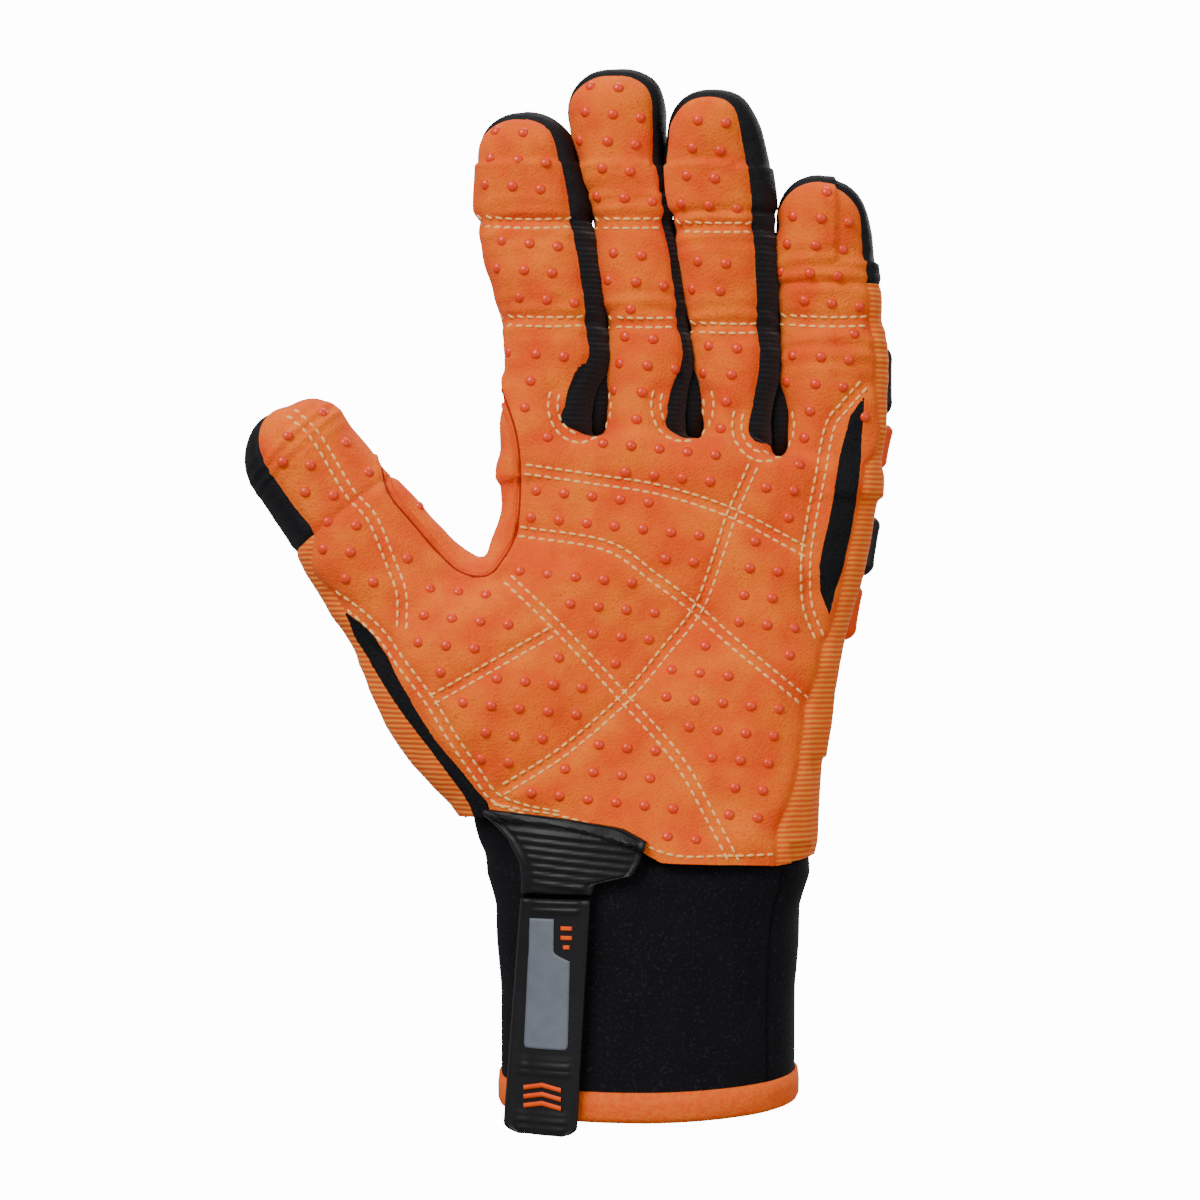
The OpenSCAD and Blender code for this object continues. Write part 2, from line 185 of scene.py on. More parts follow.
def thumb_field(p):
    """Below 0 inside the thumb."""
    s, side, fore, up = thumb_frame(p)
    section = (np.abs(side) ** 2.3 + np.abs(fore) ** 2.3) ** (1 / 2.3)
    body = ((section ** 2.1 + up ** 2.1) ** (1 / 2.1) - 1) * 13.0
    return np.maximum(body, -(s + 26))


def hand_field(p):
    """Below 0 inside the hand, from the cuff to the finger roots."""
    x, y, z = p[:, 0], p[:, 1], p[:, 2]
    left, right, depth = look(HAND_LEFT, z), look(HAND_RIGHT, z), look(HAND_DEPTH, z)
    half = (right - left) / 2
    form = np.where(y < 0, bumps(PALM_FORM, x, z), bumps(BACK_FORM, x, z))
    share = (np.abs((x - (left + right) / 2) / half) ** 2.5 + np.abs(y / depth) ** 2.5) ** (1 / 2.5)
    tube = (share - 1) * (depth + 2) - form * smooth(np.abs(y), 0, 10)
    return -smooth_min(-tube, -(z - look(HAND_TOP, x)), 3.0)


def field(p, opened=True):
    """Distance-like field of the whole skin, with the fingers drawn apart if opened."""
    total = smooth_min(hand_field(p), thumb_field(p), 4.5)
    for name in NAMES:
        q = p.copy()
        if opened:
            q[:, 0] -= OPEN[name] * smooth(p[:, 2], *PARTING)
        total = smooth_min(total, finger_field(name, q), 3.2)
    return total


def surface_net(values, origin, step):
    """Quads of the zero surface of a grid of values, one point for each cell that it crosses."""
    inside = values < 0
    shape = np.array(values.shape) - 1
    corner = [(i, j, k) for i in (0, 1) for j in (0, 1) for k in (0, 1)]
    part = [inside[i:shape[0] + i, j:shape[1] + j, k:shape[2] + k] for i, j, k in corner]
    active = ~np.logical_and.reduce(part) & np.logical_or.reduce(part)
    cells = np.argwhere(active)
    number = -np.ones(tuple(shape), int)
    number[active] = np.arange(len(cells))
    value = np.stack([values[tuple((cells + c).T)] for c in corner], 1)
    total, count = np.zeros((len(cells), 3)), np.zeros(len(cells))
    for a, ca in enumerate(corner):
        for b, cb in enumerate(corner):
            if a < b and sum(abs(np.array(ca) - cb)) == 1:
                crossed = (value[:, a] < 0) != (value[:, b] < 0)
                gap = np.where(crossed, value[:, a] - value[:, b], 1)
                t = np.where(crossed, value[:, a] / gap, 0)[:, None]
                total += np.where(crossed[:, None], np.array(ca) * (1 - t) + np.array(cb) * t, 0)
                count += crossed
    points = (cells + total / count[:, None]) * step + origin
    quads = []
    for axis in range(3):
        low = [slice(None)] * 3
        high = [slice(None)] * 3
        low[axis], high[axis] = slice(0, -1), slice(1, None)
        changed = inside[tuple(low)] != inside[tuple(high)]
        spots = np.argwhere(changed)
        u, v = [d for d in range(3) if d != axis]
        spots = spots[(spots[:, u] > 0) & (spots[:, v] > 0)
                      & (spots[:, u] < shape[u]) & (spots[:, v] < shape[v])]
        ring = []
        for du, dv in ((-1, -1), (0, -1), (0, 0), (-1, 0)):
            cell = spots.copy()
            cell[:, u] += du
            cell[:, v] += dv
            ring.append(number[tuple(cell.T)])
        quad = np.stack(ring, 1)
        flip = inside[tuple(spots.T)] == (axis == 1)
        quad[flip] = quad[flip][:, ::-1]
        quads.append(quad)
    return points, np.concatenate(quads)


def gradient(p, call):
    """Slope of a field at points."""
    g = np.zeros_like(p)
    for axis in range(3):
        shift = np.zeros(3)
        shift[axis] = 0.05
        g[:, axis] = (call(p + shift) - call(p - shift)) / 0.1
    return g


def skin_mesh():
    """Points and triangles of the skin, with the fingers brought back together."""
    low, high = np.array([-106.0, -34.0, 54.0]), np.array([68.0, 34.0, 262.0])
    shape = ((high - low) / STEP).astype(int)
    axes = [low[d] + STEP * np.arange(shape[d]) for d in range(3)]
    grid = np.stack(np.meshgrid(*axes, indexing="ij"), -1).reshape(-1, 3)
    values = field(grid).reshape(shape)
    points, quads = surface_net(values, low, STEP)
    for _ in range(3):
        g = gradient(points, field)
        points -= g * (field(points) / (g ** 2).sum(1))[:, None]
    ahead = np.linalg.norm(points[quads[:, 0]] - points[quads[:, 2]], axis=1)
    across = np.linalg.norm(points[quads[:, 1]] - points[quads[:, 3]], axis=1)
    short = ahead < across
    tris = np.concatenate([quads[short][:, [0, 1, 2]], quads[short][:, [0, 2, 3]],
                           quads[~short][:, [0, 1, 3]], quads[~short][:, [1, 2, 3]]])
    which = np.full(len(points), -1)
    best = np.full(len(points), 1e9)
    for k, name in enumerate(NAMES):
        q = points.copy()
        q[:, 0] -= OPEN[name] * smooth(points[:, 2], *PARTING)
        d = np.abs(finger_field(name, q))
        which = np.where(d < best, k, which)
        best = np.minimum(best, d)
    points[:, 0] -= np.array([OPEN[n] for n in NAMES])[which] * smooth(points[:, 2], *PARTING)
    return points, tris, which


# ---------------- cutting the skin along its seams
def cut(tris, data, g):
    """Splits the triangles that the line g = 0 crosses. data is (points, columns); g is one column."""
    near = np.abs(g) < 0.12
    g = np.where(near, 0, g)
    sign = np.sign(g)
    a, b, c = sign[tris].T
    crossed = (a * b < 0) | (b * c < 0) | (a * c < 0)
    keep, work = tris[~crossed], tris[crossed]
    edges = np.sort(np.concatenate([work[:, [0, 1]], work[:, [1, 2]], work[:, [2, 0]]]), 1)
    edges = edges[sign[edges[:, 0]] * sign[edges[:, 1]] < 0]
    edges = np.unique(edges, axis=0)
    t = (g[edges[:, 0]] / (g[edges[:, 0]] - g[edges[:, 1]]))[:, None]
    added = data[edges[:, 0]] * (1 - t) + data[edges[:, 1]] * t
    made = {(int(e[0]), int(e[1])): len(data) + i for i, e in enumerate(edges)}
    out = []
    for tri in work:
        ring = []
        for i in range(3):
            p, q = int(tri[i]), int(tri[(i + 1) % 3])
            ring.append(p)
            new = made.get((p, q) if p < q else (q, p))
            if new is not None:
                ring.append(new)
        first = next(i for i, v in enumerate(ring) if v >= len(data))
        ring = ring[first:] + ring[:first]
        if len(ring) == 4:
            out += [ring[:3], [ring[0], *ring[2:]]]
        elif ring[2] >= len(data):
            out += [ring[:3], [ring[0], ring[2], ring[3]], [ring[0], ring[3], ring[4]]]
        else:
            out += [[ring[3], ring[4], ring[0]], ring[:3], [ring[0], ring[2], ring[3]]]
    tris = np.concatenate([keep, np.array(out, int).reshape(-1, 3)])
    return tris, np.concatenate([data, added])


def line_distance(x, z, line):
    """Distance from points to a broken line, and its sign: positive on the line's left."""
    best, side = np.full(len(x), 1e9), np.ones(len(x))
    for (x0, z0), (x1, z1) in zip(line[:-1], line[1:]):
        dx, dz = x1 - x0, z1 - z0
        t = np.clip(((x - x0) * dx + (z - z0) * dz) / (dx * dx + dz * dz), 0, 1)
        ex, ez = x - x0 - t * dx, z - z0 - t * dz
        d = np.hypot(ex, ez)
        nearer = d < best
        side = np.where(nearer, np.where(dx * ez - dz * ex > 0, 1, -1), side)
        best = np.where(nearer, d, best)
    return best, side


# Edges of the palm's panels: (height, x)
SUEDE_RIGHT = [(54, 30.6), (62, 30.8), (70, 31.4), (77, 34.2), (85, 36.5), (99, 38.8), (113, 42.6),
               (120, 45.6), (128, 47.6), (140, 49.8), (152, 52.4), (162, 53.9), (176, 54.3), (205, 54.2)]
SUEDE_LEFT = [(54, -39), (76, -39.6), (79.3, -42.5), (85.5, -47.3), (92, -52.8), (99, -57.2),
              (106, -61.2), (112, -65.2), (117, -70.2), (120, -72.6), (122.6, -74.8), (129, -79.4),
              (135, -83.6), (141, -87.2), (150, -92)]
# Vents: (height, left, right)
LITTLE_VENT = [(122.5, 44.3, 44.5), (128.4, 42.3, 46.0), (134.3, 41.8, 48.0), (141, 43.1, 49.3),
               (150.7, 45.3, 50.9), (161.8, 47.2, 52.3), (171.5, 49.8, 53.0), (176, 53.0, 53.2)]
THUMB_VENT = [(69, -41.2, -38.5), (76, -43.8, -39.6), (79.3, -46, -42.5), (85.5, -50.5, -47.3),
              (92, -55.6, -52.8), (99, -60.6, -57.2), (106, -65.1, -61.0), (112, -68.9, -64.2),
              (117, -72.2, -67.6), (120, -73.6, -70.6), (122.6, -75.0, -74.7)]
CROTCH_LINE = [(-66.0, 160.5), (-63.8, 152.6), (-58.3, 145.7), (-52.3, 138.7), (-46.7, 133.6),
               (-40.4, 132.4), (-36.6, 136.0), (-33.2, 143), (-32.2, 155), (-33.2, 167), (-37.5, 180)]
HEM_FRONT = [(-44, 73), (-22, 71), (-4, 66), (3, 62), (31, 61.3), (45, 63.5)]
CROTCHES = [(-17.0, 172.0), (8.4, 172.2), (28.4, 167.2)]
# Double-stitched lines on the palm side, as (x, z)
STITCHED = [
    [(-30.8, 158.3), (-14, 155.8), (3, 153), (20.5, 147.3), (38.8, 137.8)],
    [(-32.3, 143), (-10.5, 139.3), (1.5, 131.3), (11.8, 123.5), (21.3, 115), (38.4, 101)],
    [(-35, 131.5), (-22.3, 119.3), (-6, 101.8), (7, 87), (15, 73), (20.5, 62.5)],
    [(25.8, 159.3), (20.5, 147.3), (17.5, 138.3), (12.3, 124.3), (4.3, 113.8), (-6, 101.8),
     (-21, 89), (-35.8, 79.5)],
    [(-53.5, 101.3), (-42, 107.8), (-24.5, 117.8)],
    [(53.4, 179.5), (48.5, 174), (44.8, 168.8), (42.3, 156.5), (39.6, 143), (38.6, 134),
     (39.2, 124.3), (42.3, 116.2)],
    [(-78, 127.4), (-71.8, 123), (-65.8, 117.4), (-61, 110.8), (-53.5, 101), (-48.8, 93.3),
     (-42, 83.3), (-37.9, 77.8), (-30.5, 74.8), (-22, 73.2)],
    [(-88.4, 172.5), (-81.8, 166), (-74, 153), (-68, 146), (-63.5, 135.3), (-60.8, 127.8), (-60.6, 119.5)],
]
FINGER_ROWS = {"index": (218.8, 194.6), "middle": (218.8, 194.4), "ring": (217.4, 193.0),
               "little": (194.6,)}


def rounded(points, step=1.0):
    """The broken line's points as a smooth line with a point about each step."""
    p = np.array(points, float)
    ends = np.concatenate([[2 * p[0] - p[1]], p, [2 * p[-1] - p[-2]]])
    out = []
    for i in range(1, len(ends) - 2):
        a, b, c, d = ends[i - 1:i + 3]
        count = max(2, int(np.linalg.norm(c - b) / step))
        for t in np.arange(count) / count:
            out.append(0.5 * (2 * b + (c - a) * t + (2 * a - 5 * b + 4 * c - d) * t * t
                              + (3 * b - a - 3 * c + d) * t ** 3))
    return np.array(out + [p[-1]])


LINES = [rounded(s) for s in STITCHED]
for cx, cz in CROTCHES:
    turn = np.radians(np.arange(-205, 26, 8))
    LINES.append(np.stack([cx + 6.6 * np.cos(turn), cz + 2 + 8.0 * np.sin(turn)], 1))
for name, heights in FINGER_ROWS.items():
    for height in heights:
        edge = [look(FINGERS[name]["rows"], height, c) for c in (1, 2)]
        across = np.arange(edge[0] - 1, edge[1] + 1, 1.0)
        bow = 0.8 * ((across - sum(edge) / 2) / 12) ** 2
        LINES.append(np.stack([across, height + bow], 1))


# ---------------- the zones across the knuckles
def joint_at(child):
    """The joint that carries a body."""
    return next(j for j in frame["joints"] if j["child"] == child)


class Zone:
    """A stretch of skin between two planes across one knuckle; a and b name the bodies on its two sides."""

    def __init__(self, name, a, b, origin, along, start, end):
        self.name, self.a, self.b = name, a, b
        self.origin, self.along = np.array(origin), np.array(along)
        self.start, self.end = start, end

    def blend(self, obj):
        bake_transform(obj)


ZONES = {}
for name in NAMES:
    spots = [np.array(joint_at(f"{name}_{part}")["pos_m"]) / MM for part in ("base", "mid", "tip")]
    rise = (spots[2] - spots[0]) * [1, 0, 1]
    middle, end = np.linalg.norm((spots[1] - spots[0]) * [1, 0, 1]), np.linalg.norm(rise)
    along = rise / end
    first = {"index": -5.3, "middle": -4.8, "ring": -2.8, "little": -5.0}[name]
    ZONES[name] = [
        Zone(f"{name}_root", "hand", f"{name}_base", spots[0], along, first, min(12, middle - 10.3)),
        Zone(f"{name}_middle", f"{name}_base", f"{name}_mid", spots[0], along, middle - 10, middle + 10),
        Zone(f"{name}_end", f"{name}_mid", f"{name}_tip", spots[0], along, end - 10, end + 10)]
OUT = np.array([-0.643, 0, 0.766])
SADDLE = np.array([-38.0, 0, 137.0])
ZONES["thumb"] = [
    Zone("thumb_root", "hand", "thumb_base", SADDLE, OUT, 0.3, 15.5),
    Zone("thumb_end", "thumb_base", "thumb_tip", THUMB_ROOT, ALONG, 14.0, 34.0)]

points, tris, which = skin_mesh()
print("skin", len(points), len(tris))
columns = np.concatenate([points, which[:, None]], 1)


def finger_scalars(p, k):
    """Seam angles of points on finger k: right and left fronts, and how far round they are."""
    name = NAMES[k]
    side, fore, up, _ = finger_frame(name, p)
    f = FINGERS[name]
    t = np.degrees(np.arctan2(signed(side, 1.22), signed(fore, 1.22)))
    left, right = look(f["left"], p[:, 2]), look(f["right"], p[:, 2])
    middle, half = np.radians((left + right) / 2), np.radians((right - left) / 2)
    size = np.sqrt(side ** 2 + fore ** 2 + up ** 2) + 1e-6
    centred = middle * (1 - 0.7 * np.clip(up, 0, 1))
    forward = (fore * np.cos(centred) + side * np.sin(centred)) / size
    lean = np.degrees(half) * (1 - up) + 51 * up
    dome = (lean - np.degrees(np.arccos(np.clip(forward, -1, 1)))) * 0.2
    off = np.abs((t - np.degrees(middle) + 180) % 360 - 180)
    tube = (np.degrees(half) - off) * 0.2
    share = smooth(up, 0.0, 0.35)
    return tube * (1 - share) + dome * share, t


def scalars(p, kind):
    """All the cut lines' values at points: each changes sign across its line."""
    x, y, z = p[:, 0], p[:, 1], p[:, 2]
    k = kind.round().astype(int)
    out = {}
    front = -y
    finger_z = np.array([ROOT_Z[n] for n in NAMES])[k]
    on_finger = smooth(z, finger_z - 9, finger_z - 3)
    panel, angle = np.full(len(p), 3.0), np.zeros(len(p))
    for i in range(4):
        here = k == i
        panel[here], angle[here] = finger_scalars(p[here], i)
    s, side, fore, up = thumb_frame(p)
    thumb_t = np.degrees(np.arctan2(signed(side, 1.15), signed(fore, 1.15)))
    size = np.sqrt(side ** 2 + fore ** 2 + up ** 2) + 1e-6
    middle, half = np.radians(24), np.radians(look([(26, 74), (34, 78), (60, 80)], s))
    turned = (fore * np.cos(middle) + side * np.sin(middle)) / size
    thumb_panel = (np.degrees(half) - np.degrees(np.arccos(np.clip(turned, -1, 1)))) * 0.22
    is_thumb = ((p - SADDLE) @ OUT > 0) & (x < THUMB_X) & (z < THUMB_TOP)
    tip_share = smooth(s, 20, 30) * is_thumb
    left = look(SUEDE_LEFT, z)
    palm = np.minimum(np.minimum(x - left, 60) * 0.8, (look(SUEDE_RIGHT, z) - x))
    palm = np.minimum(palm, (front + 1.5) * 0.7)
    palm = np.where(is_thumb, np.minimum((x - left) * 0.8, (100 - np.abs(thumb_t)) * 0.2), palm)
    palm = palm * (1 - tip_share) + thumb_panel * tip_share
    out["suede"] = np.where(is_thumb, palm, palm * (1 - on_finger) + panel * on_finger)
    vent = -np.ones(len(p)) * 9
    for rows in (LITTLE_VENT, THUMB_VENT):
        low, high = look(rows, z), look(rows, z, 2)
        inside = np.minimum(np.minimum(x - low, high - x),
                            np.minimum(z - rows[0][0], rows[-1][0] - z))
        vent = np.maximum(vent, np.where(front > 0, inside, -9))
    out["vent"] = vent
    d, turn = line_distance(x, z, CROTCH_LINE)
    inner = (z > 131) & (x < -28) & (x > -68) & (z < 184)
    out["crotch"] = np.where(inner, d * turn, -d - 1)
    drop = np.full(len(p), -9.0)
    for cx, cz in CROTCHES:
        across, rise = x - cx - 0.12 * (z - cz), z - cz - 1.5
        rise = np.where(rise > 0, rise * 0.35, rise * 0.95)
        drop = np.maximum(drop, np.where((front > -2) & (z < cz + 14), 3.9 - np.hypot(across, rise), -9))
    out["drop"] = drop
    wall = (118 - np.abs(angle)) * 0.2
    out["wall"] = np.where(on_finger > 0.02, wall, -3.0)
    little_side = ((k == 3) & (angle > 0)) | ((k == 0) & (angle < 0))
    out["wall"] = np.where(little_side, np.minimum(wall, 0) - 1, out["wall"])
    cap_z = np.array([FINGERS[n]["top"] for n in NAMES])[k] - np.array([27, 31, 30, 26.2])[k]
    out["cap"] = np.where(is_thumb, s - 27.5, z - cap_z)
    out["hem"] = z - np.where(front > 0, look(HEM_FRONT, x), look([(-44, 71.5), (0, 66), (45, 63.5)], x))
    out["back"] = np.where(on_finger > 0.5, 9, y)
    for i, name in enumerate(NAMES):
        zones = ZONES[name]
        along = (p - zones[0].origin) @ zones[0].along
        marks = [zones[0].start, (zones[0].end + zones[1].start) / 2, (zones[1].end + zones[2].start) / 2]
        for m, mark in enumerate(marks):
            value = np.where((k == i) & (z > 150), along - mark, -50)
            out[f"zone{m}"] = np.maximum(out.get(f"zone{m}", -50), value)
    out["thumb0"] = np.where((x < THUMB_X) & (z < THUMB_TOP), (p - SADDLE) @ OUT - 0.3, -50)
    out["thumb1"] = np.where(is_thumb, s - 13.5, -50)
    return out


for key in ("hem", "suede", "vent", "crotch", "drop", "wall", "cap", "back",
            "zone0", "zone1", "zone2", "thumb0", "thumb1"):
    tris, columns = cut(tris, columns, scalars(columns[:, :3], columns[:, 3])[key])
points, kind = columns[:, :3], columns[:, 3].round().astype(int)
value = scalars(points, columns[:, 3])
centre = points[tris].mean(1)
face_kind = np.median(kind[tris], axis=1)
at = scalars(centre, face_kind)
at["hem"] = value["hem"][tris].mean(1)
kept = at["hem"] > 0
tris, at, centre = tris[kept], {k: v[kept] for k, v in at.items()}, centre[kept]
face_kind = np.median(kind[tris], axis=1).astype(int)
print("cut", len(points), len(tris))

is_thumb = at["thumb0"] > 0
zone = np.where(at["zone0"] > 0, 1 + face_kind * 3 + (at["zone1"] > 0) + (at["zone2"] > 0), 0)
zone = np.where(is_thumb, 13 + (at["thumb1"] > 0), zone)
ZONE_LIST = [None] + [z for n in NAMES for z in ZONES[n]] + ZONES["thumb"]
PANELS = ("suede", "knit", "wall", "cap", "vent", "crotch", "side")
on_finger = centre[:, 2] > np.array([ROOT_Z[n] for n in NAMES])[face_kind] - 8
panel = np.full(len(tris), 1)
panel[(at["wall"] > 0) & ~is_thumb & on_finger] = 2
panel[(at["cap"] > 0) & (is_thumb | (at["zone2"] > -12))] = 3
panel[at["suede"] > 0] = 0
panel[(at["drop"] > 0) & ~is_thumb] = 2
panel[(at["vent"] > 0) & ~((panel == 0) & (zone > 0) & (at["vent"] < -1))] = 4
panel[(at["crotch"] > 0) & (zone < 14) & ((zone == 0) | is_thumb | (face_kind == 0))] = 5
panel[(panel == 1) & (zone == 0) & (at["back"] < 0) & (centre[:, 0] > 0)] = 6
panel[(panel == 1) & (at["back"] < 0) & (centre[:, 0] < 0) & ((zone == 0) | is_thumb)] = 6


# ---------------- relief: seams, stitch rows, creases
def hum(p, scale, seed):
    """Smooth noise made of a few crossed waves, about -1 to 1."""
    rng = np.random.default_rng(seed)
    total = 0
    for _ in range(5):
        d = rng.normal(size=3)
        d *= (0.7 + 0.6 * rng.random()) / (np.linalg.norm(d) * scale)
        bent = p + 1.2 * scale * np.sin(p[:, [1, 2, 0]] / scale * 0.9 + rng.random(3) * 6)
        total = total + np.sin(bent @ d * 2 * math.pi + rng.random() * 6)
    return total / 2.6


surface = gradient(points, lambda p: field(p, False))
for i, name in enumerate(NAMES):
    here = (kind == i) & (points[:, 2] > 186)
    surface[here] = gradient(points[here], lambda p: finger_field(name, p))
surface /= np.linalg.norm(surface, axis=1)[:, None] + 1e-9
facing = -surface[:, 1]
lift = np.zeros(len(points))
sewn = np.full(len(points), 99.0)
for line in LINES:
    low, high = line.min(0) - 14, line.max(0) + 14
    here = ((points[:, [0, 2]] > low) & (points[:, [0, 2]] < high)).all(1) & (facing > -0.15)
    here = np.flatnonzero(here)
    d, _ = line_distance(points[here, 0], points[here, 2], line[::2] if len(line) > 8 else line)
    sewn[here] = np.minimum(sewn[here], d)
puff = 0.95 * (1 - np.exp(-(sewn / 5.0) ** 1.4)) * (sewn < 60) * smooth(facing, -0.15, 0.3)
lift += puff - 0.35 * np.exp(-(sewn / 1.9) ** 4)
for key, depth, width in (("suede", 0.55, 1.1), ("wall", 0.5, 1.0), ("cap", 0.6, 1.0),
                          ("crotch", 0.6, 1.2)):
    lift -= depth * np.exp(-(value[key] / width) ** 2)
lift += 0.5 * np.exp(-((value["crotch"] + 2.0) / 1.0) ** 2) * (value["suede"] > 0)
soft = smooth(value["suede"], -2, 2)
lift += (0.42 * hum(points * [1, 1, 0.8], 26, 3) + 0.2 * hum(points, 11, 5)) * (0.5 + 0.5 * soft)
# Creases across the palm side of each knuckle
for i, name in enumerate(NAMES):
    for part in ("mid", "tip"):
        spot = np.array(joint_at(f"{name}_{part}")["pos_m"]) / MM
        d = points[:, 2] - spot[2] + 0.05 * (points[:, 0] - spot[0]) ** 2 / 6
        near = (kind == i) & (points[:, 2] > 150)
        crease = -0.32 * np.cos(d * 1.5) * np.exp(-(d / 5.5) ** 2) * smooth(facing, 0, 0.6)
        lift += np.where(near, crease, 0)
points = points + surface * lift[:, None]
flat = np.cross(points[tris[:, 1]] - points[tris[:, 0]], points[tris[:, 2]] - points[tris[:, 0]])
normals = np.zeros_like(points)
for i in range(3):
    np.add.at(normals, tris[:, i], flat)
normals /= np.linalg.norm(normals, axis=1)[:, None] + 1e-12


# ---------------- materials
def shade(name, colour, rough=0.8, second=None, size=400.0, detail=3.0, bump=0.0, bump_size=900.0,
          ribs=0.0, rib_colour=None, sheen=0.0, speckle=None, shine=0.2):
    """A procedural finish that stays with the piece: its texture reads the "rest" attribute."""
    m = bpy.data.materials.new(name)
    m.use_nodes = True
    tree, n = m.node_tree, m.node_tree.nodes
    bsdf = n["Principled BSDF"]
    bsdf.inputs["Roughness"].default_value = rough
    bsdf.inputs["Base Color"].default_value = (*colour, 1)
    bsdf.inputs["Sheen Weight"].default_value = sheen
    bsdf.inputs["Specular IOR Level"].default_value = shine
    rest = n.new("ShaderNodeAttribute")
    rest.attribute_name = "rest"
    link = tree.links.new

    def noise(scale, fine):
        t = n.new("ShaderNodeTexNoise")
        t.inputs["Scale"].default_value = scale
        t.inputs["Detail"].default_value = fine
        link(rest.outputs["Vector"], t.inputs["Vector"])
        return t.outputs["Fac"]

    def mixed(factor, a, b, low=0.35, high=0.65):
        r = n.new("ShaderNodeMapRange")
        r.inputs["From Min"].default_value, r.inputs["From Max"].default_value = low, high
        link(factor, r.inputs["Value"])
        x = n.new("ShaderNodeMix")
        x.data_type = "RGBA"
        for c, socket in ((a, 6), (b, 7)):
            if isinstance(c, tuple):
                x.inputs[socket].default_value = (*c, 1)
            else:
                link(c, x.inputs[socket])
        link(r.outputs["Result"], x.inputs[0])
        return x.outputs[2]

    out = None
    if second:
        out = mixed(noise(size, detail), colour, second)
    heights = []
    if ribs:
        wave = n.new("ShaderNodeTexWave")
        wave.bands_direction = "Z"
        wave.inputs["Scale"].default_value = ribs
        wave.inputs["Distortion"].default_value = 0.6
        wave.inputs["Detail"].default_value = 0.0
        link(rest.outputs["Vector"], wave.inputs["Vector"])
        out = mixed(wave.outputs["Fac"], rib_colour, out or colour, 0.1, 0.8)
        heights.append((wave.outputs["Fac"], 0.35))
    if speckle:
        out = mixed(noise(1500, 1), out or colour, speckle, 0.6, 0.68)
    if bump:
        heights.append((noise(bump_size, 4), bump))
    if out is not None:
        link(out, bsdf.inputs["Base Color"])
    before = None
    for height, strength in heights:
        b = n.new("ShaderNodeBump")
        b.inputs["Strength"].default_value = strength
        b.inputs["Distance"].default_value = 0.0006
        link(height, b.inputs["Height"])
        if before:
            link(before, b.inputs["Normal"])
        before = b.outputs["Normal"]
    if before:
        link(before, bsdf.inputs["Normal"])
    return m


def rgb(r, g, b):
    """sRGB 0 to 255 as linear colour."""
    return tuple(((c / 255 + 0.055) / 1.055) ** 2.4 if c > 10 else c / 255 / 12.92 for c in (r, g, b))


SUEDE = shade("suede_finish", rgb(244, 80, 2), 0.9, rgb(255, 118, 14), 110, 6, 0.7, 1700, sheen=0.05,
              speckle=rgb(248, 92, 8))
EDGE = shade("saddle_edge_finish", rgb(230, 78, 8), 0.85, rgb(240, 92, 14), 300, 3, 0.3, 1700)
# Dark orange for the thin tube beside the saddle's piping: painted shadow, not a colour of the suede
SHADOW = shade("saddle_painted_shadow_finish", rgb(150, 34, 2), 0.9, rgb(164, 40, 4), 300, 3, 0.3, 1700)
KNIT = shade("knit_finish", rgb(255, 132, 28), 0.85, rgb(255, 150, 44), 200, 3, 0.25, 2600, ribs=250,
             rib_colour=rgb(244, 84, 14), sheen=0.06)
BLACK_KNIT = shade("black_knit_finish", rgb(13, 13, 17), 0.85, rgb(22, 22, 27), 900, 3, 0.5, 2200, ribs=240,
                   rib_colour=rgb(12, 12, 15), sheen=0.15)
CAP = shade("cap_finish", rgb(12, 12, 16), 0.62, rgb(21, 21, 26), 500, 4, 0.5, 1800)
MESH = shade("mesh_finish", rgb(18, 18, 23), 0.8, rgb(8, 8, 10), 1300, 1, 0.8, 1300)
NEOPRENE = shade("neoprene_finish", rgb(4, 4, 8), 0.85, rgb(8, 8, 14), 120, 3, 0.4, 1600,
                 speckle=rgb(24, 27, 36))
BINDING = shade("binding_finish", rgb(248, 92, 14), 0.8, rgb(254, 112, 26), 700, 3, 0.5, 1900)
RUBBER = shade("rubber_finish", rgb(10, 9, 13), 0.48, rgb(14, 13, 17), 300, 3, 0.12, 1500, shine=0.35)
ORANGE = shade("orange_rubber_finish", rgb(244, 76, 8), 0.5, rgb(248, 88, 14), 300, 3, 0.12, 1500)
GREY = shade("label_finish", rgb(104, 110, 120), 0.5, rgb(110, 116, 126), 300, 3, 0.1, 1500)
GRIP = shade("grip_finish", rgb(236, 60, 6), 0.3, rgb(240, 68, 10), 300, 2, 0.05, 900, shine=0.5)
THREAD = shade("thread_finish", rgb(255, 196, 112), 0.7, rgb(255, 208, 130), 900, 2, 0.3, 3000)
PADDING = shade("padding_finish", rgb(70, 68, 66), 0.9, rgb(84, 82, 80), 300, 3, 0.4, 900)


# ---------------- making pieces
def make(name, verts, faces, finish, zone=None, body="hand", shading=None, stands_for=()):
    """A piece from points in mm, on a body, or baked in place for a zone."""
    name = name + "_cover" if name in frame["nodes"] else name
    mesh = bpy.data.meshes.new(name)
    verts = np.asarray(verts, float)
    mesh.from_pydata((verts * MM).tolist(), [], faces if isinstance(faces, list) else faces.tolist())
    mesh.shade_smooth()
    rest = mesh.attributes.new("rest", "FLOAT_VECTOR", "POINT")
    rest.data.foreach_set("vector", (verts * MM).astype(np.float32).ravel())
    if shading is not None:
        mesh.normals_split_custom_set_from_vertices(shading.tolist())
    mesh.materials.append(finish)
    obj = bpy.data.objects.new(name, mesh)
    bpy.context.scene.collection.objects.link(obj)
    if zone is None:
        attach(obj, body)
    else:
        zone.blend(obj)
    if stands_for:
        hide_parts(*stands_for)
    return obj


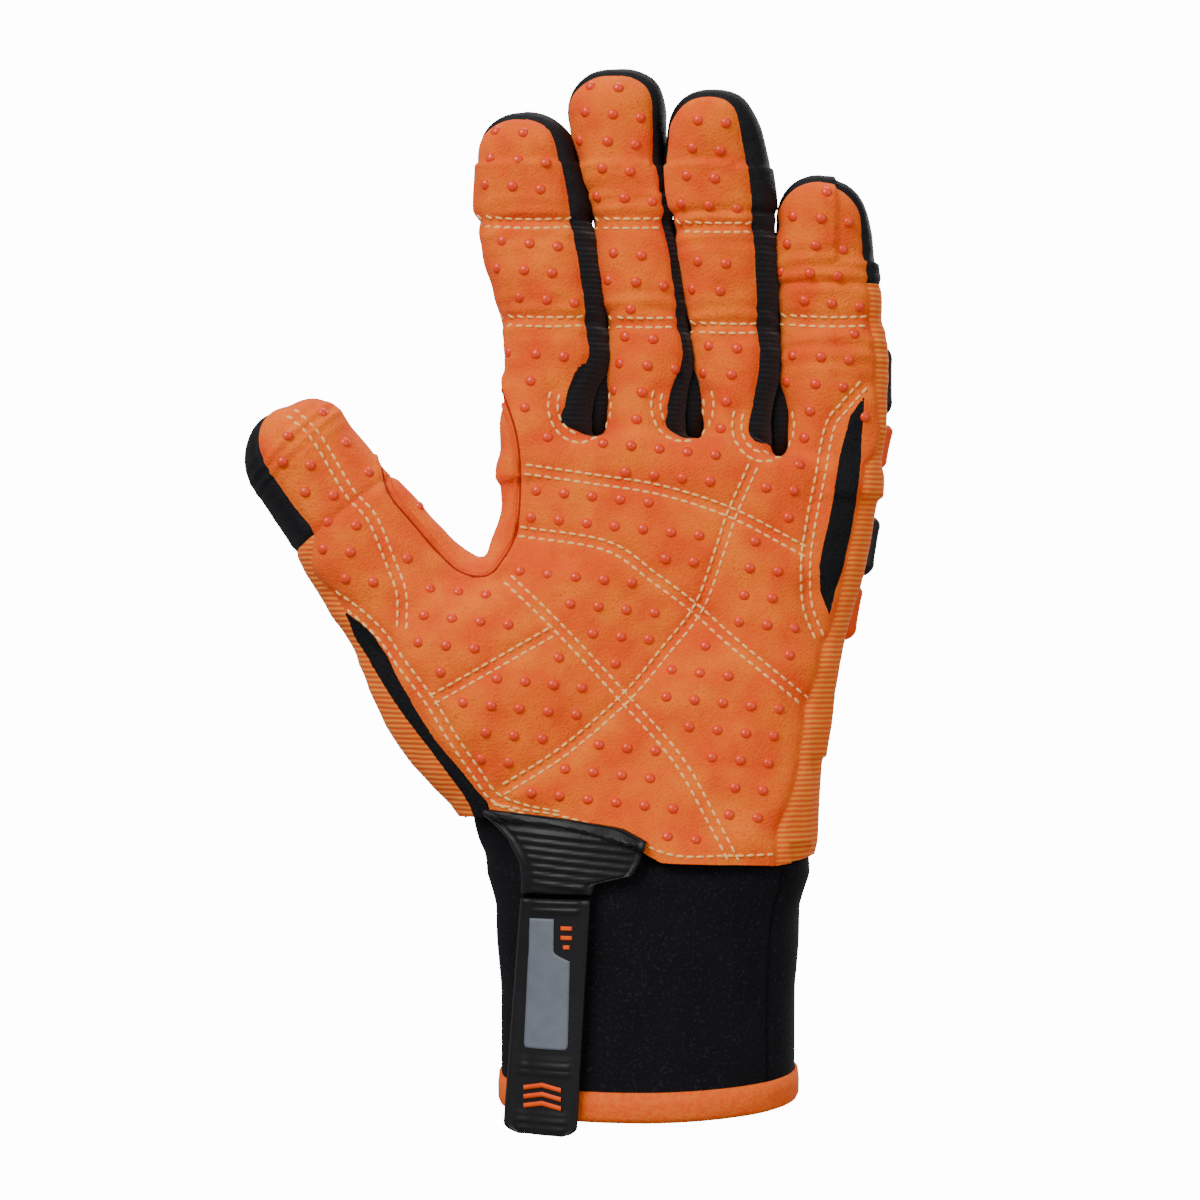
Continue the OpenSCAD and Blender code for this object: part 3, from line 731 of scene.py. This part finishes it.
FINISH = {"suede": (SUEDE, "palm_suede"), "knit": (KNIT, "hi_vis_knit"), "wall": (BLACK_KNIT, "black_knit"),
          "cap": (CAP, "fingertip_rubberised"), "vent": (MESH, "mesh"), "crotch": (SUEDE, "palm_suede"),
          "side": (KNIT, "hi_vis_knit")}
# Which CAD nodes the panels stand for
STANDS = {"suede_hand": ["palm_panel"], "knit_hand": ["back_panel"],
          "little_side_knit_hand": ["little_side_knit"], "thumb_side_knit_hand": ["thumb_side_knit"],
          "little_vent_hand": ["little_side_vent"],
          "thumb_vent_hand": ["thumb_side_vent"], "crotch_hand": ["thumb_crotch_patch"],
          "suede_thumb_root": ["thumb_base_front"], "knit_thumb_root": ["thumb_base_back"],
          "suede_thumb_end": ["thumb_tip_front"], "cap_thumb_end": ["thumb_tip_cap"]}
for name in NAMES:
    for covers, part in (("suede root", "base_front"), ("wall root", "base_walls"), ("knit root", "base_back"),
                         ("suede middle", "mid_front"), ("knit middle", "mid_back"),
                         ("suede end", "tip_front"), ("cap end", "tip_cap")):
        STANDS[covers.replace(" ", f"_{name}_")] = [f"{name}_{part}"]
STANDS["knit_little_root"].append("little_base_walls")

left_side = centre[:, 0] < -20
for z_index, z in enumerate(ZONE_LIST):
    for p_index, p_name in enumerate(PANELS):
        for left in (False, True):
            here = (zone == z_index) & (panel == p_index)
            title = p_name
            if p_name in ("vent", "side"):
                here &= left_side == left
                title = ("thumb_" if left else "little_") + ("vent" if p_name == "vent" else "side_knit")
            elif left:
                continue
            faces = tris[here]
            if len(faces) < 12:
                continue
            used, index = np.unique(faces, return_inverse=True)
            title = f"{title}_{z.name if z else 'hand'}"
            finish, slot_name = FINISH[p_name]
            make(title, points[used], index.reshape(-1, 3), finish, z, shading=normals[used],
                 stands_for=[n for n in STANDS.get(title, ()) if n in frame["nodes"]])

SKIN = BVHTree.FromPolygons([tuple(p) for p in points], [tuple(int(i) for i in t) for t in tris])


def on_skin(x, z, y=-60.0, towards=1.0):
    """Where a ray along Y meets the skin at x, z: the point, its normal and its face."""
    hit, normal, face, _ = SKIN.ray_cast(Vector((x, y, z)), Vector((0, towards, 0)))
    if hit is None:
        return None
    i = tris[face]
    n = normals[i].mean(0)
    return np.array(hit), n / np.linalg.norm(n), face


class Heap:
    """Small solids gathered by the zone of the skin they sit on, one piece for each zone."""

    def __init__(self):
        self.parts = {}

    def add(self, z_index, verts, faces):
        places, rings = self.parts.setdefault(z_index, ([], []))
        count = sum(len(p) for p in places)
        places.append(verts)
        rings.extend([[i + count for i in f] for f in faces])

    def build(self, title, finish, slot_name):
        for z_index, (places, rings) in sorted(self.parts.items()):
            z = ZONE_LIST[z_index]
            make(f"{title}_{z.name if z else 'hand'}", np.concatenate(places), rings, finish, z)


def axes_at(normal, ahead):
    """Two directions along the surface and its normal, as rows."""
    ahead = ahead - normal * (ahead @ normal)
    ahead /= np.linalg.norm(ahead)
    return np.stack([np.cross(ahead, normal), ahead, normal])


def dome(radius, height, around=12, rings=4):
    """Points and faces of an open dome, top first."""
    verts, faces = [[0, 0, height]], []
    for j in range(1, rings + 1):
        a = j / rings * math.pi / 2
        for i in range(around):
            t = 2 * math.pi * i / around
            wide = radius * math.sin(a)
            verts.append([wide * math.cos(t), wide * math.sin(t), height * math.cos(a)])
    for i in range(around):
        faces.append([0, 1 + i, 1 + (i + 1) % around])
        for j in range(rings - 1):
            a, b = 1 + j * around, 1 + (j + 1) * around
            faces.append([a + i, b + i, b + (i + 1) % around, a + (i + 1) % around])
    return np.array(verts), faces


# Grip domes on a leaning grid, on suede only and clear of the sewing
dots = Heap()
DOT, DOT_FACES = dome(1.35, 0.85)
for row in range(-8, 40):
    for col in range(-30, 30):
        x, z = 3.0 + col * 6.9 + row * 1.35, 62 + row * 6.6 - col * 0.75
        if not (58 < z < 262 and -95 < x < 64):
            continue
        hit = on_skin(x, z)
        if hit is None or panel[hit[2]] != 0 or -hit[1][1] < 0.22:
            continue
        corners = tris[hit[2]]
        if value["suede"][corners].min() < 1.6 or np.abs(value["crotch"][corners]).min() < 2.4:
            continue
        if sewn[corners].min() < 2.5 or value["hem"][corners].min() < 4.5:
            continue
        turn = axes_at(hit[1], np.array([0, 0, 1.0]))
        dots.add(int(zone[hit[2]]), hit[0] - hit[1] * 0.08 + DOT @ turn, DOT_FACES)
dots.build("grip_dots", GRIP, "grip_silicone")

# Stitches: a flat-bottomed capsule for each, in double rows
stitches = Heap()
STITCH = np.array([[x, y, z] for y, w, h in ((-0.95, 0.14, 0.1), (-0.6, 0.3, 0.34), (0, 0.34, 0.4),
                                             (0.6, 0.3, 0.34), (0.95, 0.14, 0.1))
                   for x, z in ((-w, 0), (-w * 0.7, h), (w * 0.7, h), (w, 0))])
STITCH_FACES = [[4 * j + i, 4 * j + i + 1, 4 * j + i + 5, 4 * j + i + 4]
                for j in range(4) for i in range(3)] + [[0, 3, 2, 1], [16, 17, 18, 19]]


def sew(line, offsets=(-1.15, 1.15), pitch=2.45, keep=lambda hit: True):
    """Rows of stitches on the palm side, along a line of (x, z)."""
    ahead = np.gradient(line, axis=0)
    ahead /= np.linalg.norm(ahead, axis=1)[:, None] + 1e-9
    for off in offsets:
        row = line + np.stack([-ahead[:, 1], ahead[:, 0]], 1) * off
        run = np.concatenate([[0], np.cumsum(np.linalg.norm(np.diff(row, axis=0), axis=1))])
        for d in np.arange(pitch / 2, run[-1], pitch):
            x, z = np.interp(d, run, row[:, 0]), np.interp(d, run, row[:, 1])
            dx, dz = np.interp(d, run, ahead[:, 0]), np.interp(d, run, ahead[:, 1])
            hit = on_skin(x, z)
            if hit is None or not keep(hit):
                continue
            turn = axes_at(hit[1], np.array([dx, 0, dz]))
            stitches.add(int(zone[hit[2]]), hit[0] - hit[1] * 0.05 + STITCH @ turn, STITCH_FACES)


for line in LINES:
    sew(line, keep=lambda hit: panel[hit[2]] in (0, 5) and -hit[1][1] > 0.12)
hem = rounded([(-38.5, 76), (-30, 74.6), (-22, 73.4), (-8, 69.5), (5, 64.2), (18, 63.8), (30, 64)])
sew(hem, offsets=(0,))
stitches.build("stitches", THREAD, "thread")

# Piping: the rolled edge of the thumb saddle's patch, with a painted shadow line beside it
def tube_on_skin(line, radius, around=6, sink=0.2):
    """Short tubes along a line on the palm side, heaped by zone."""
    out = Heap()
    hits = [(on_skin(x, z), (x, z)) for x, z in line]
    run = [(h, q) for h, q in hits if h is not None and -h[1][1] > 0.08]
    rings = []
    for i, (h, q) in enumerate(run):
        before, after = run[max(i - 1, 0)][0][0], run[min(i + 1, len(run) - 1)][0][0]
        turn = axes_at(h[1], after - before)
        t = np.arange(around) / around * 2 * math.pi
        ring = np.stack([np.cos(t) * radius, 0 * t, np.sin(t) * radius - sink], 1) @ turn + h[0]
        rings.append((ring, int(zone[h[2]])))
    for (a, za), (b, zb) in zip(rings[:-1], rings[1:]):
        if np.linalg.norm(a[0] - b[0]) < 5:
            out.add(za, np.concatenate([a, b]),
                    [[i, (i + 1) % around, around + (i + 1) % around, around + i] for i in range(around)])
    return out


saddle = rounded(CROTCH_LINE, 0.9)
ahead = np.gradient(saddle, axis=0)
ahead /= np.linalg.norm(ahead, axis=1)[:, None]
across = np.stack([-ahead[:, 1], ahead[:, 0]], 1)
tube_on_skin(saddle + across * 0.5, 0.85, sink=0.25).build("saddle_edge", EDGE, "palm_suede")
# A thin dark tube beside the piping: a painted shadow line along the saddle's edge
tube_on_skin(saddle - across * 0.55, 0.42, sink=0.1).build("saddle_painted_shadow", SHADOW, "palm_suede")


# ---------------- parts set in the hand
def grid_faces(rows, cols, closed=False):
    """Quads of a grid of points, joined round if closed."""
    last = cols if closed else cols - 1
    return [[j * cols + i, j * cols + (i + 1) % cols, (j + 1) * cols + (i + 1) % cols, (j + 1) * cols + i]
            for j in range(rows - 1) for i in range(last)]


def two_sheets(rows, cols):
    """Faces of a grid and of a second one behind it that faces the other way."""
    front = grid_faces(rows, cols)
    return front + [[i + rows * cols for i in f[::-1]] for f in front]


def slab_faces(rows, cols):
    """Faces of a closed slab: a top grid, the same grid below it, and the wall round them."""
    top, count, last = grid_faces(rows, cols), rows * cols, (rows - 1) * cols
    border = ([(i, i + 1) for i in range(cols - 1)]
              + [((j + 1) * cols - 1, (j + 2) * cols - 1) for j in range(rows - 1)]
              + [(last + i + 1, last + i) for i in range(cols - 1)]
              + [((j + 1) * cols, j * cols) for j in range(rows - 1)])
    return ([f[::-1] for f in top] + [[i + count for i in f] for f in top]
            + [[a, b, b + count, a + count] for a, b in border])


def ellipsoid(middle, radii, around=20, rings=12):
    """Points and faces of an ellipsoid with tiny holes at its poles."""
    verts = [[math.sin(a) * math.cos(t), math.sin(a) * math.sin(t), math.cos(a)]
             for a in (math.pi * (j + 0.02) / (rings + 0.04 - 1) for j in range(rings))
             for t in (2 * math.pi * i / around for i in range(around))]
    return np.array(verts) * radii + middle, [f[::-1] for f in grid_faces(rings, around, True)]


for name, cx, cz in (("index_middle", -12.0, 176.5), ("middle_ring", 11.2, 176.5),
                     ("ring_little", 33.0, 172.3)):
    verts, faces = ellipsoid((cx, 1.0, cz), (3.3, 7.6, 12.0))
    make(f"web_{name}", verts, faces, BLACK_KNIT)

# Foam under the palm, hidden by the suede
FOAM_ROWS, FOAM_COLS = 25, 21
spread = [(u, z) for z in np.linspace(80, 152, FOAM_ROWS) for u in np.linspace(-1, 1, FOAM_COLS)]
sheet_top, sheet_low = [], []
for u, z in spread:
    left, right = look(HAND_LEFT, z) + 8, look(HAND_RIGHT, z) - 8
    left = max(left, look(SUEDE_LEFT, z) + 8, -34.0)
    x = (left + right) / 2 + u * (right - left) / 2
    hit = on_skin(x, z)
    edge = max(0.0, 1 - max(abs(u), abs((z - 116) / 36)) ** 4)
    sheet_top.append(hit[0] - hit[1] * 1.6)
    sheet_low.append(hit[0] - hit[1] * (1.9 + 1.9 * edge))
pad = make("palm_foam", sheet_top + sheet_low, two_sheets(FOAM_ROWS, FOAM_COLS), PADDING,
           stands_for=["palm_padding"])

# ---------------- cuff
CUFF_W = [(-6, 36.5), (30, 36.7), (50, 38.2), (58, 40.4), (66, 42.0), (80, 42.4)]
CUFF_D = [(-6, 25.6), (30, 24.4), (66, 24.2), (80, 21)]


def cuff_point(z, t, grow=0.0):
    """A point round the cuff at angle t from the palm side, grown outwards."""
    power = 2 / float(np.interp(z, [40, 66], [2.3, 2.5]))
    s, c = math.sin(t), math.cos(t)
    w, d = look(CUFF_W, z) + grow, look(CUFF_D, z) + grow
    w += 3.0 * float(smooth(z, 58, 74)) if s < 0 else 0
    return [math.copysign(abs(s) ** power, s) * w, -math.copysign(abs(c) ** power, c) * d, z]


def cuff_hem(t):
    """Height of the cuff's lower edge at angle t."""
    return 4.4 - 5.4 * (0.5 + 0.5 * math.cos(t)) ** 0.8 + 1.2 * max(0.0, math.sin(t))


COLS, LEVELS = 168, 56
CUFF_T = 2.6
SEAM = math.radians(51)
turns = [2 * math.pi * i / COLS for i in range(COLS)]


def cuff_wall(t, v, grow):
    """A point of the cuff: v runs up from its hem. The outer face has folds and the seam."""
    low = cuff_hem(t) + 1.0
    z = low + (73 - low) * v
    ease = -1.5 * float(smooth(z, 57, 64))
    fold = 0.35 * math.sin(z * 0.21 + 2.2 * math.sin(t * 2)) * math.exp(-((z - 52) / 16) ** 2)
    seam = -0.9 * math.exp(-((t - SEAM) / 0.03) ** 2)
    return cuff_point(z, t, grow + (ease + fold + seam if grow > -1 else 0))


for title, start, stop in (("cuff_front", math.radians(-90), SEAM), ("cuff_back", SEAM, math.radians(270))):
    cols = 90
    ts = [start + (stop - start) * i / (cols - 1) for i in range(cols)]
    outer, inner = ([cuff_wall(t, j / (LEVELS - 1), grow) for j in range(LEVELS) for t in ts]
                    for grow in (0.0, -CUFF_T))
    count = len(outer)
    last = (LEVELS - 1) * cols
    faces = two_sheets(LEVELS, cols) + [[last + i, last + i + 1, count + last + i + 1, count + last + i]
                                        for i in range(cols - 1)]
    make(title, outer + inner, faces, NEOPRENE, stands_for=[title])

rows = []
for drop, grow in ((7.2, 0.05), (7.0, 0.75), (4.2, 1.05), (1.2, 1.0), (0.1, 0.5), (-0.4, -0.9), (0.1, -2.6),
                   (1.4, -3.3), (5.0, -3.4), (6.6, -2.7)):
    rows += [cuff_point(cuff_hem(t) + drop, t, grow + 0.12 * math.sin(t * 9)) for t in turns]
make("cuff_binding", rows, [f[::-1] for f in grid_faces(10, COLS, True)], BINDING,
     stands_for=["cuff_binding"])

# ---------------- pull tab
heights = np.arange(-8, 64.1, 2)
FRONT = BVHTree.FromPolygons([cuff_point(z, t) for z in heights for t in turns],
                             grid_faces(len(heights), COLS, True))


def tab_front(x, z):
    """The front of the cuff or hand at x, z, as y."""
    bent = max(x, -29.5)
    hit, _, _, _ = FRONT.ray_cast(Vector((bent, -60, min(max(z, -5.0), 63.9))), Vector((0, 1, 0)))
    y = hit[1] + (bent - x) * 0.5
    if z > 59:
        skin = on_skin(x, max(z, 64.0))
        if skin is not None:
            blend = float(smooth(z, 59, 66))
            y = y * (1 - blend) + min(skin[0][1], y) * blend
    return y


def tab_sheet(title, outline, height, finish, body, stands=(), thick=2.2, ridge=None,
              cols=30, step=0.6):
    """A moulded sheet between two edges; outline rows are (z, left, right), top first."""
    zs = np.arange(outline[0][0], outline[-1][0] - 0.001, -step)
    line = sorted(outline)
    top, low = [], []
    for z in zs:
        left, right = look(line, z), look(line, z, 2)
        for i in range(cols):
            u = i / (cols - 1)
            x = left + (right - left) * u
            y = tab_front(x, z)
            inset = min(u * (right - left), (1 - u) * (right - left),
                        outline[0][0] - z + 0.2, z - outline[-1][0] + 0.4)
            edge = math.sqrt(max(0.0, 1 - max(0.0, 1 - inset / 0.8) ** 2))
            bump = ridge(x, z, left, right) if ridge else 0.0
            top.append([x, y - height - thick * (0.35 + 0.65 * edge) - bump, z])
            low.append([x, y - height, z])
    make(title, top + low, slab_faces(len(zs), cols), finish, body=body, stands_for=stands)


def base_ridges(x, z, left, right):
    """Leaning ridges and a raised rim on the tab's base."""
    inside = min(x - left, right - x)
    lean = z - (71.5 - 0.1 * (x + 22))
    wave = 0.5 - 0.5 * math.cos(lean * 2 * math.pi / 2.0)
    field_share = smooth(inside, 2.0, 3.0) * smooth(z, 54.5, 55.5) * smooth(-lean, 1.5, 2.5)
    return 0.75 * wave * field_share + 0.55 * (1 - smooth(inside, 1.2, 1.9))


# Bands of ridges across the strap: where each starts to rise and to fall, and over what height
STRAP_BANDS = ((48.8, 54.5, 0.8), (9.9, 13.8, 0.6), (-3.6, 0.6, 0.6))


def strap_ridges(x, z, left, right):
    """Ridges in bands and a raised rim on the strap."""
    inside = min(x - left, right - x)
    wave = 0.5 - 0.5 * math.cos(z * 2 * math.pi / 1.9)
    band = max(smooth(z, low, low + soft) * (1 - smooth(z, high, high + soft))
               for low, high, soft in STRAP_BANDS)
    return 0.6 * wave * band * smooth(inside, 2.4, 3.2) + 0.4 * (1 - smooth(inside, 0.9, 1.5))


def strap_x(z, u):
    """Across the strap: u is -1 at its left edge and 1 at its right edge."""
    share = (z + 2.5) / 58.5
    left, right = -35.75 + 4.5 * share, -17.5 + 3.5 * share
    return (left + right) / 2 + u * (right - left) / 2


base_rows = [(74.6, -41.0, -38.0), (73.0, -40.4, -22.0), (70.6, -37.6, -6.5), (67.4, -34.6, -0.6),
             (62.0, -31.8, -2.2), (59.0, -31.4, -4.0), (57.0, -31.3, -13.0), (54.0, -31.4, -13.9)]
tab_sheet("pull_tab_base", base_rows, 0.35, RUBBER, "hand", ["pull_tab_base"],
          ridge=base_ridges, cols=60)
strap_rows = [(z, strap_x(z, -1), strap_x(z, 1)) for z in np.arange(53.2, -1.9, -1.0)]
for a in range(1, 9):
    z, w = -2.0 - 2.8 * math.sin(a * math.pi / 16), math.cos(a * math.pi / 16) ** 0.6
    strap_rows.append((z, strap_x(-2, -w) + (1 - w) * 0.5, strap_x(-2, w) - (1 - w) * 0.5))
tab_sheet("pull_tab_strap", strap_rows, 1.6, RUBBER, "pull_tab", ["pull_tab_strap"],
          ridge=strap_ridges)
window = [(48.4, -29.2, -23.2), (40.2, -29.4, -23.3), (39.2, -29.5, -21.8), (38.2, -29.6, -19.3),
          (17.4, -30.6, -19.8), (16.6, -30.2, -20.4)]
tab_sheet("id_window", window, 3.85, GREY, "pull_tab", ["id_window"], thick=0.35, cols=16)
for k, half in enumerate((1.4, 1.4, 0.8)):
    z = 46.2 - 2.3 * k
    tab_sheet(f"window_bar_{k + 1}", [(z + dz, -20.2 - half, -20.2 + half) for dz in (0.5, -0.5)], 3.85,
              ORANGE, "pull_tab", thick=0.3, cols=6, step=0.25)
for k in range(3):
    cx = strap_x(5, 0)
    verts, faces = [], []
    low = 1.9 + 2.2 * k
    for u in np.linspace(-1, 1, 17):
        x = cx + 4.6 * u
        for dz in (0.0, 1.1):
            z = low + dz + 1.0 * (1 - abs(u))
            y = tab_front(x, z)
            verts += [[x, y - 3.7, z], [x, y - 4.25, z]]
    for i in range(16):
        a, b = 4 * i, 4 * i + 4
        faces += [[a + 1, a + 3, b + 3, b + 1], [a, a + 1, b + 1, b], [a + 3, a + 2, b + 2, b + 3]]
    make(f"pull_chevron_{k + 1}", verts, faces, ORANGE, body="pull_tab",
         stands_for=["pull_mark"] if k == 0 else ())

# ---------------- moulded guards on the back
# Length over which a guard's ends are rounded, and its edges fall to the fabric
GUARD_ROUND, GUARD_EDGE = 2.6, 2.4


def back_guard(title, centre_line, widths, height, finish, body, stands=(), ridges=0,
               rows=44, cols=26):
    """A padded shell on the back, along a line of (x, z), sunk a little into the fabric."""
    line = rounded(centre_line, 0.5)
    run = np.concatenate([[0], np.cumsum(np.linalg.norm(np.diff(line, axis=0), axis=1))])
    ahead = np.gradient(line, axis=0)
    top, low = [], []
    for j in range(rows):
        v = j / (rows - 1)
        d = v * run[-1]
        c = np.array([np.interp(d, run, line[:, k]) for k in (0, 1)])
        a = np.array([np.interp(d, run, ahead[:, k]) for k in (0, 1)])
        a /= np.linalg.norm(a)
        half = float(look(widths, v))
        end = min(d, run[-1] - d)
        taper = max(0.0, 1 - end / GUARD_ROUND)
        half *= max(0.05, 1 - taper ** 2) ** 0.5 * 0.25 + 0.75 * (1 - taper ** 3)
        for i in range(cols):
            u = 2 * i / (cols - 1) - 1
            hit, reach = None, half * u
            while hit is None or hit[1][1] < 0.12:
                spot = c + np.array([a[1], -a[0]]) * reach
                hit = on_skin(spot[0], spot[1], 60.0, -1.0)
                reach *= 0.96
            base, n = hit[0], hit[1]
            inset = min((1 - abs(u)) * half, end)
            rise = height
            if inset < GUARD_EDGE:
                rise *= (1 - max(0.0, 1 - inset / GUARD_EDGE) ** 2.2) ** 0.5
            if ridges:
                wave = 0.5 - 0.5 * math.cos(v * ridges * 2 * math.pi)
                rise += 0.55 * wave * float(smooth(inset, 1.6, 2.8))
            n = n * 0.7 + np.array([0, 0.3, 0])
            top.append(list(base + n * rise))
            low.append(list(base - n * 0.3))
    make(title, top + low, slab_faces(rows, cols), finish, body=body, stands_for=stands)


def finger_axis(name, z):
    """Sideways place of a finger's middle at height z."""
    return (look(FINGERS[name]["rows"], z) + look(FINGERS[name]["rows"], z, 2)) / 2


for i, name in enumerate(NAMES):
    zs = ZONES[name]
    root, mid, end = (zs[k].origin[2] + zs[k].along[2] * s for k, s in
                      ((0, 0), (1, (zs[1].start + zs[1].end) / 2), (2, (zs[2].start + zs[2].end) / 2)))
    low, high = root + 4.5, mid - 3.5
    line = [(finger_axis(name, z), z) for z in (low, (low + high) / 2, high)]
    back_guard(f"{name}_base_guard", line, [(0, 8.0), (1, 7.6)], 3.0, RUBBER, f"{name}_base",
               [f"{name}_base_guard"], ridges=4)
    low, high = mid + 4.0, end - 3.5
    line = [(finger_axis(name, z), z) for z in (low, (low + high) / 2, high)]
    back_guard(f"{name}_mid_guard", line, [(0, 7.6), (1, 7.0)], 2.8, ORANGE, f"{name}_mid",
               [f"{name}_mid_guard"], ridges=3)
    x = finger_axis(name, 160)
    shift = 0.6 if name == "little" else 0
    back_guard(f"knuckle_guard_{name}", [(x * 0.97 + shift, 141.5), (x + shift, 151), (x + shift, 160.5)],
               [(0, 8.2), (0.5, 9.4), (1, 8.0)], 4.6, RUBBER, "hand",
               ["knuckle_guard"] if i == 0 else (), ridges=3, rows=40)
    x0 = x * 0.86 + (4.6 if name == "little" else 1)
    back_guard(f"hand_guard_{name}", [(x0 * 0.8, 92 + 3 * i), (x0 * 0.93, 115), (x0, 137)],
               [(0, 5.4), (0.5, 7.4), (1, 7.8)], 3.2, ORANGE if i in (0, 3) else RUBBER,
               "hand",
               ["hand_back_guard"] if i == 0 else (), ridges=5, rows=60)
spots = [THUMB_ROOT + ALONG * s for s in (7.5, 12, 20)]
back_guard("thumb_guard", [(q[0] - 1.0, q[2]) for q in spots], [(0, 6.6), (1, 6.2)], 3.0, RUBBER,
           "thumb_base", ["thumb_guard"], ridges=3, rows=36)

# The ends of the guards that wrap round the little finger's edge of the hand
for title, x, low, high, wide, body, finish in (
        ("edge_guard_finger", 58.9, 172.5, 189.5, 2.5, "little_base", RUBBER),
        ("edge_guard_knuckle", 57.9, 158.5, 170, 2.9, "hand", ORANGE),
        ("edge_guard_upper", 54.3, 132, 147, 3.3, "hand", RUBBER),
        ("edge_guard_lower", 50.0, 116, 130, 3.2, "hand", ORANGE)):
    verts, faces = ellipsoid((0, 0, 0), (1, 1, 1), 32, 18)
    verts = signed(verts, 0.55)
    ripple = 1 + 0.07 * np.cos(verts[:, 2] * 9)[:, None] * [1, 1, 0]
    lean = (verts[:, 2] * 1.2)[:, None] * [1, 0, 0] if body == "hand" else 0
    verts = verts * ripple * [wide, 4.6, (high - low) / 2] + lean + [x, 5.0, (low + high) / 2]
    make(title, verts, faces, finish, body=body)

# ---------------- room, light and camera
def on_stage(name, data, place, turn=(0, 0, 0)):
    """Adds a lamp or camera."""
    obj = bpy.data.objects.new(name, data)
    obj.location, obj.rotation_euler = place, turn
    bpy.context.scene.collection.objects.link(obj)
    return obj


for name, place, aim, size, power in (("key", (-0.7, -0.9, 0.95), (0, 0, 0.13), 0.7, 18.5),
                                      ("fill", (0.85, -0.9, 0.35), (0, 0, 0.12), 0.9, 4.6),
                                      ("top", (0.1, 0.35, 1.0), (0, 0, 0.15), 0.8, 5.5),
                                      ("rim", (0.6, 0.9, 0.4), (0, 0, 0.12), 0.6, 4.5)):
    lamp = bpy.data.lights.new(name, "AREA")
    lamp.size, lamp.energy = size, power
    way = Vector(aim) - Vector(place)
    on_stage(name, lamp, place, way.to_track_quat("-Z", "Y").to_euler())
world = bpy.data.worlds.new("surroundings")
world.use_nodes = True
tree = world.node_tree
paths = tree.nodes.new("ShaderNodeLightPath")
mix = tree.nodes.new("ShaderNodeMixShader")
white = tree.nodes.new("ShaderNodeBackground")
white.inputs[0].default_value = (1, 1, 1, 1)
white.inputs[1].default_value = 14.0
soft_light = tree.nodes["Background"]
soft_light.inputs[0].default_value = (1.0, 1.0, 1.0, 1)
soft_light.inputs[1].default_value = 0.36
tree.links.new(paths.outputs["Is Camera Ray"], mix.inputs[0])
tree.links.new(soft_light.outputs[0], mix.inputs[1])
tree.links.new(white.outputs[0], mix.inputs[2])
tree.links.new(mix.outputs[0], tree.nodes["World Output"].inputs[0])
bpy.context.scene.world = world

lens = bpy.data.cameras.new("camera")
lens.lens, lens.sensor_width = 108, 36
lens.clip_start = 0.01
camera = on_stage("camera", lens, (-0.012, -0.9, 0.126), (math.radians(90), 0, 0))
bpy.context.scene.camera = camera
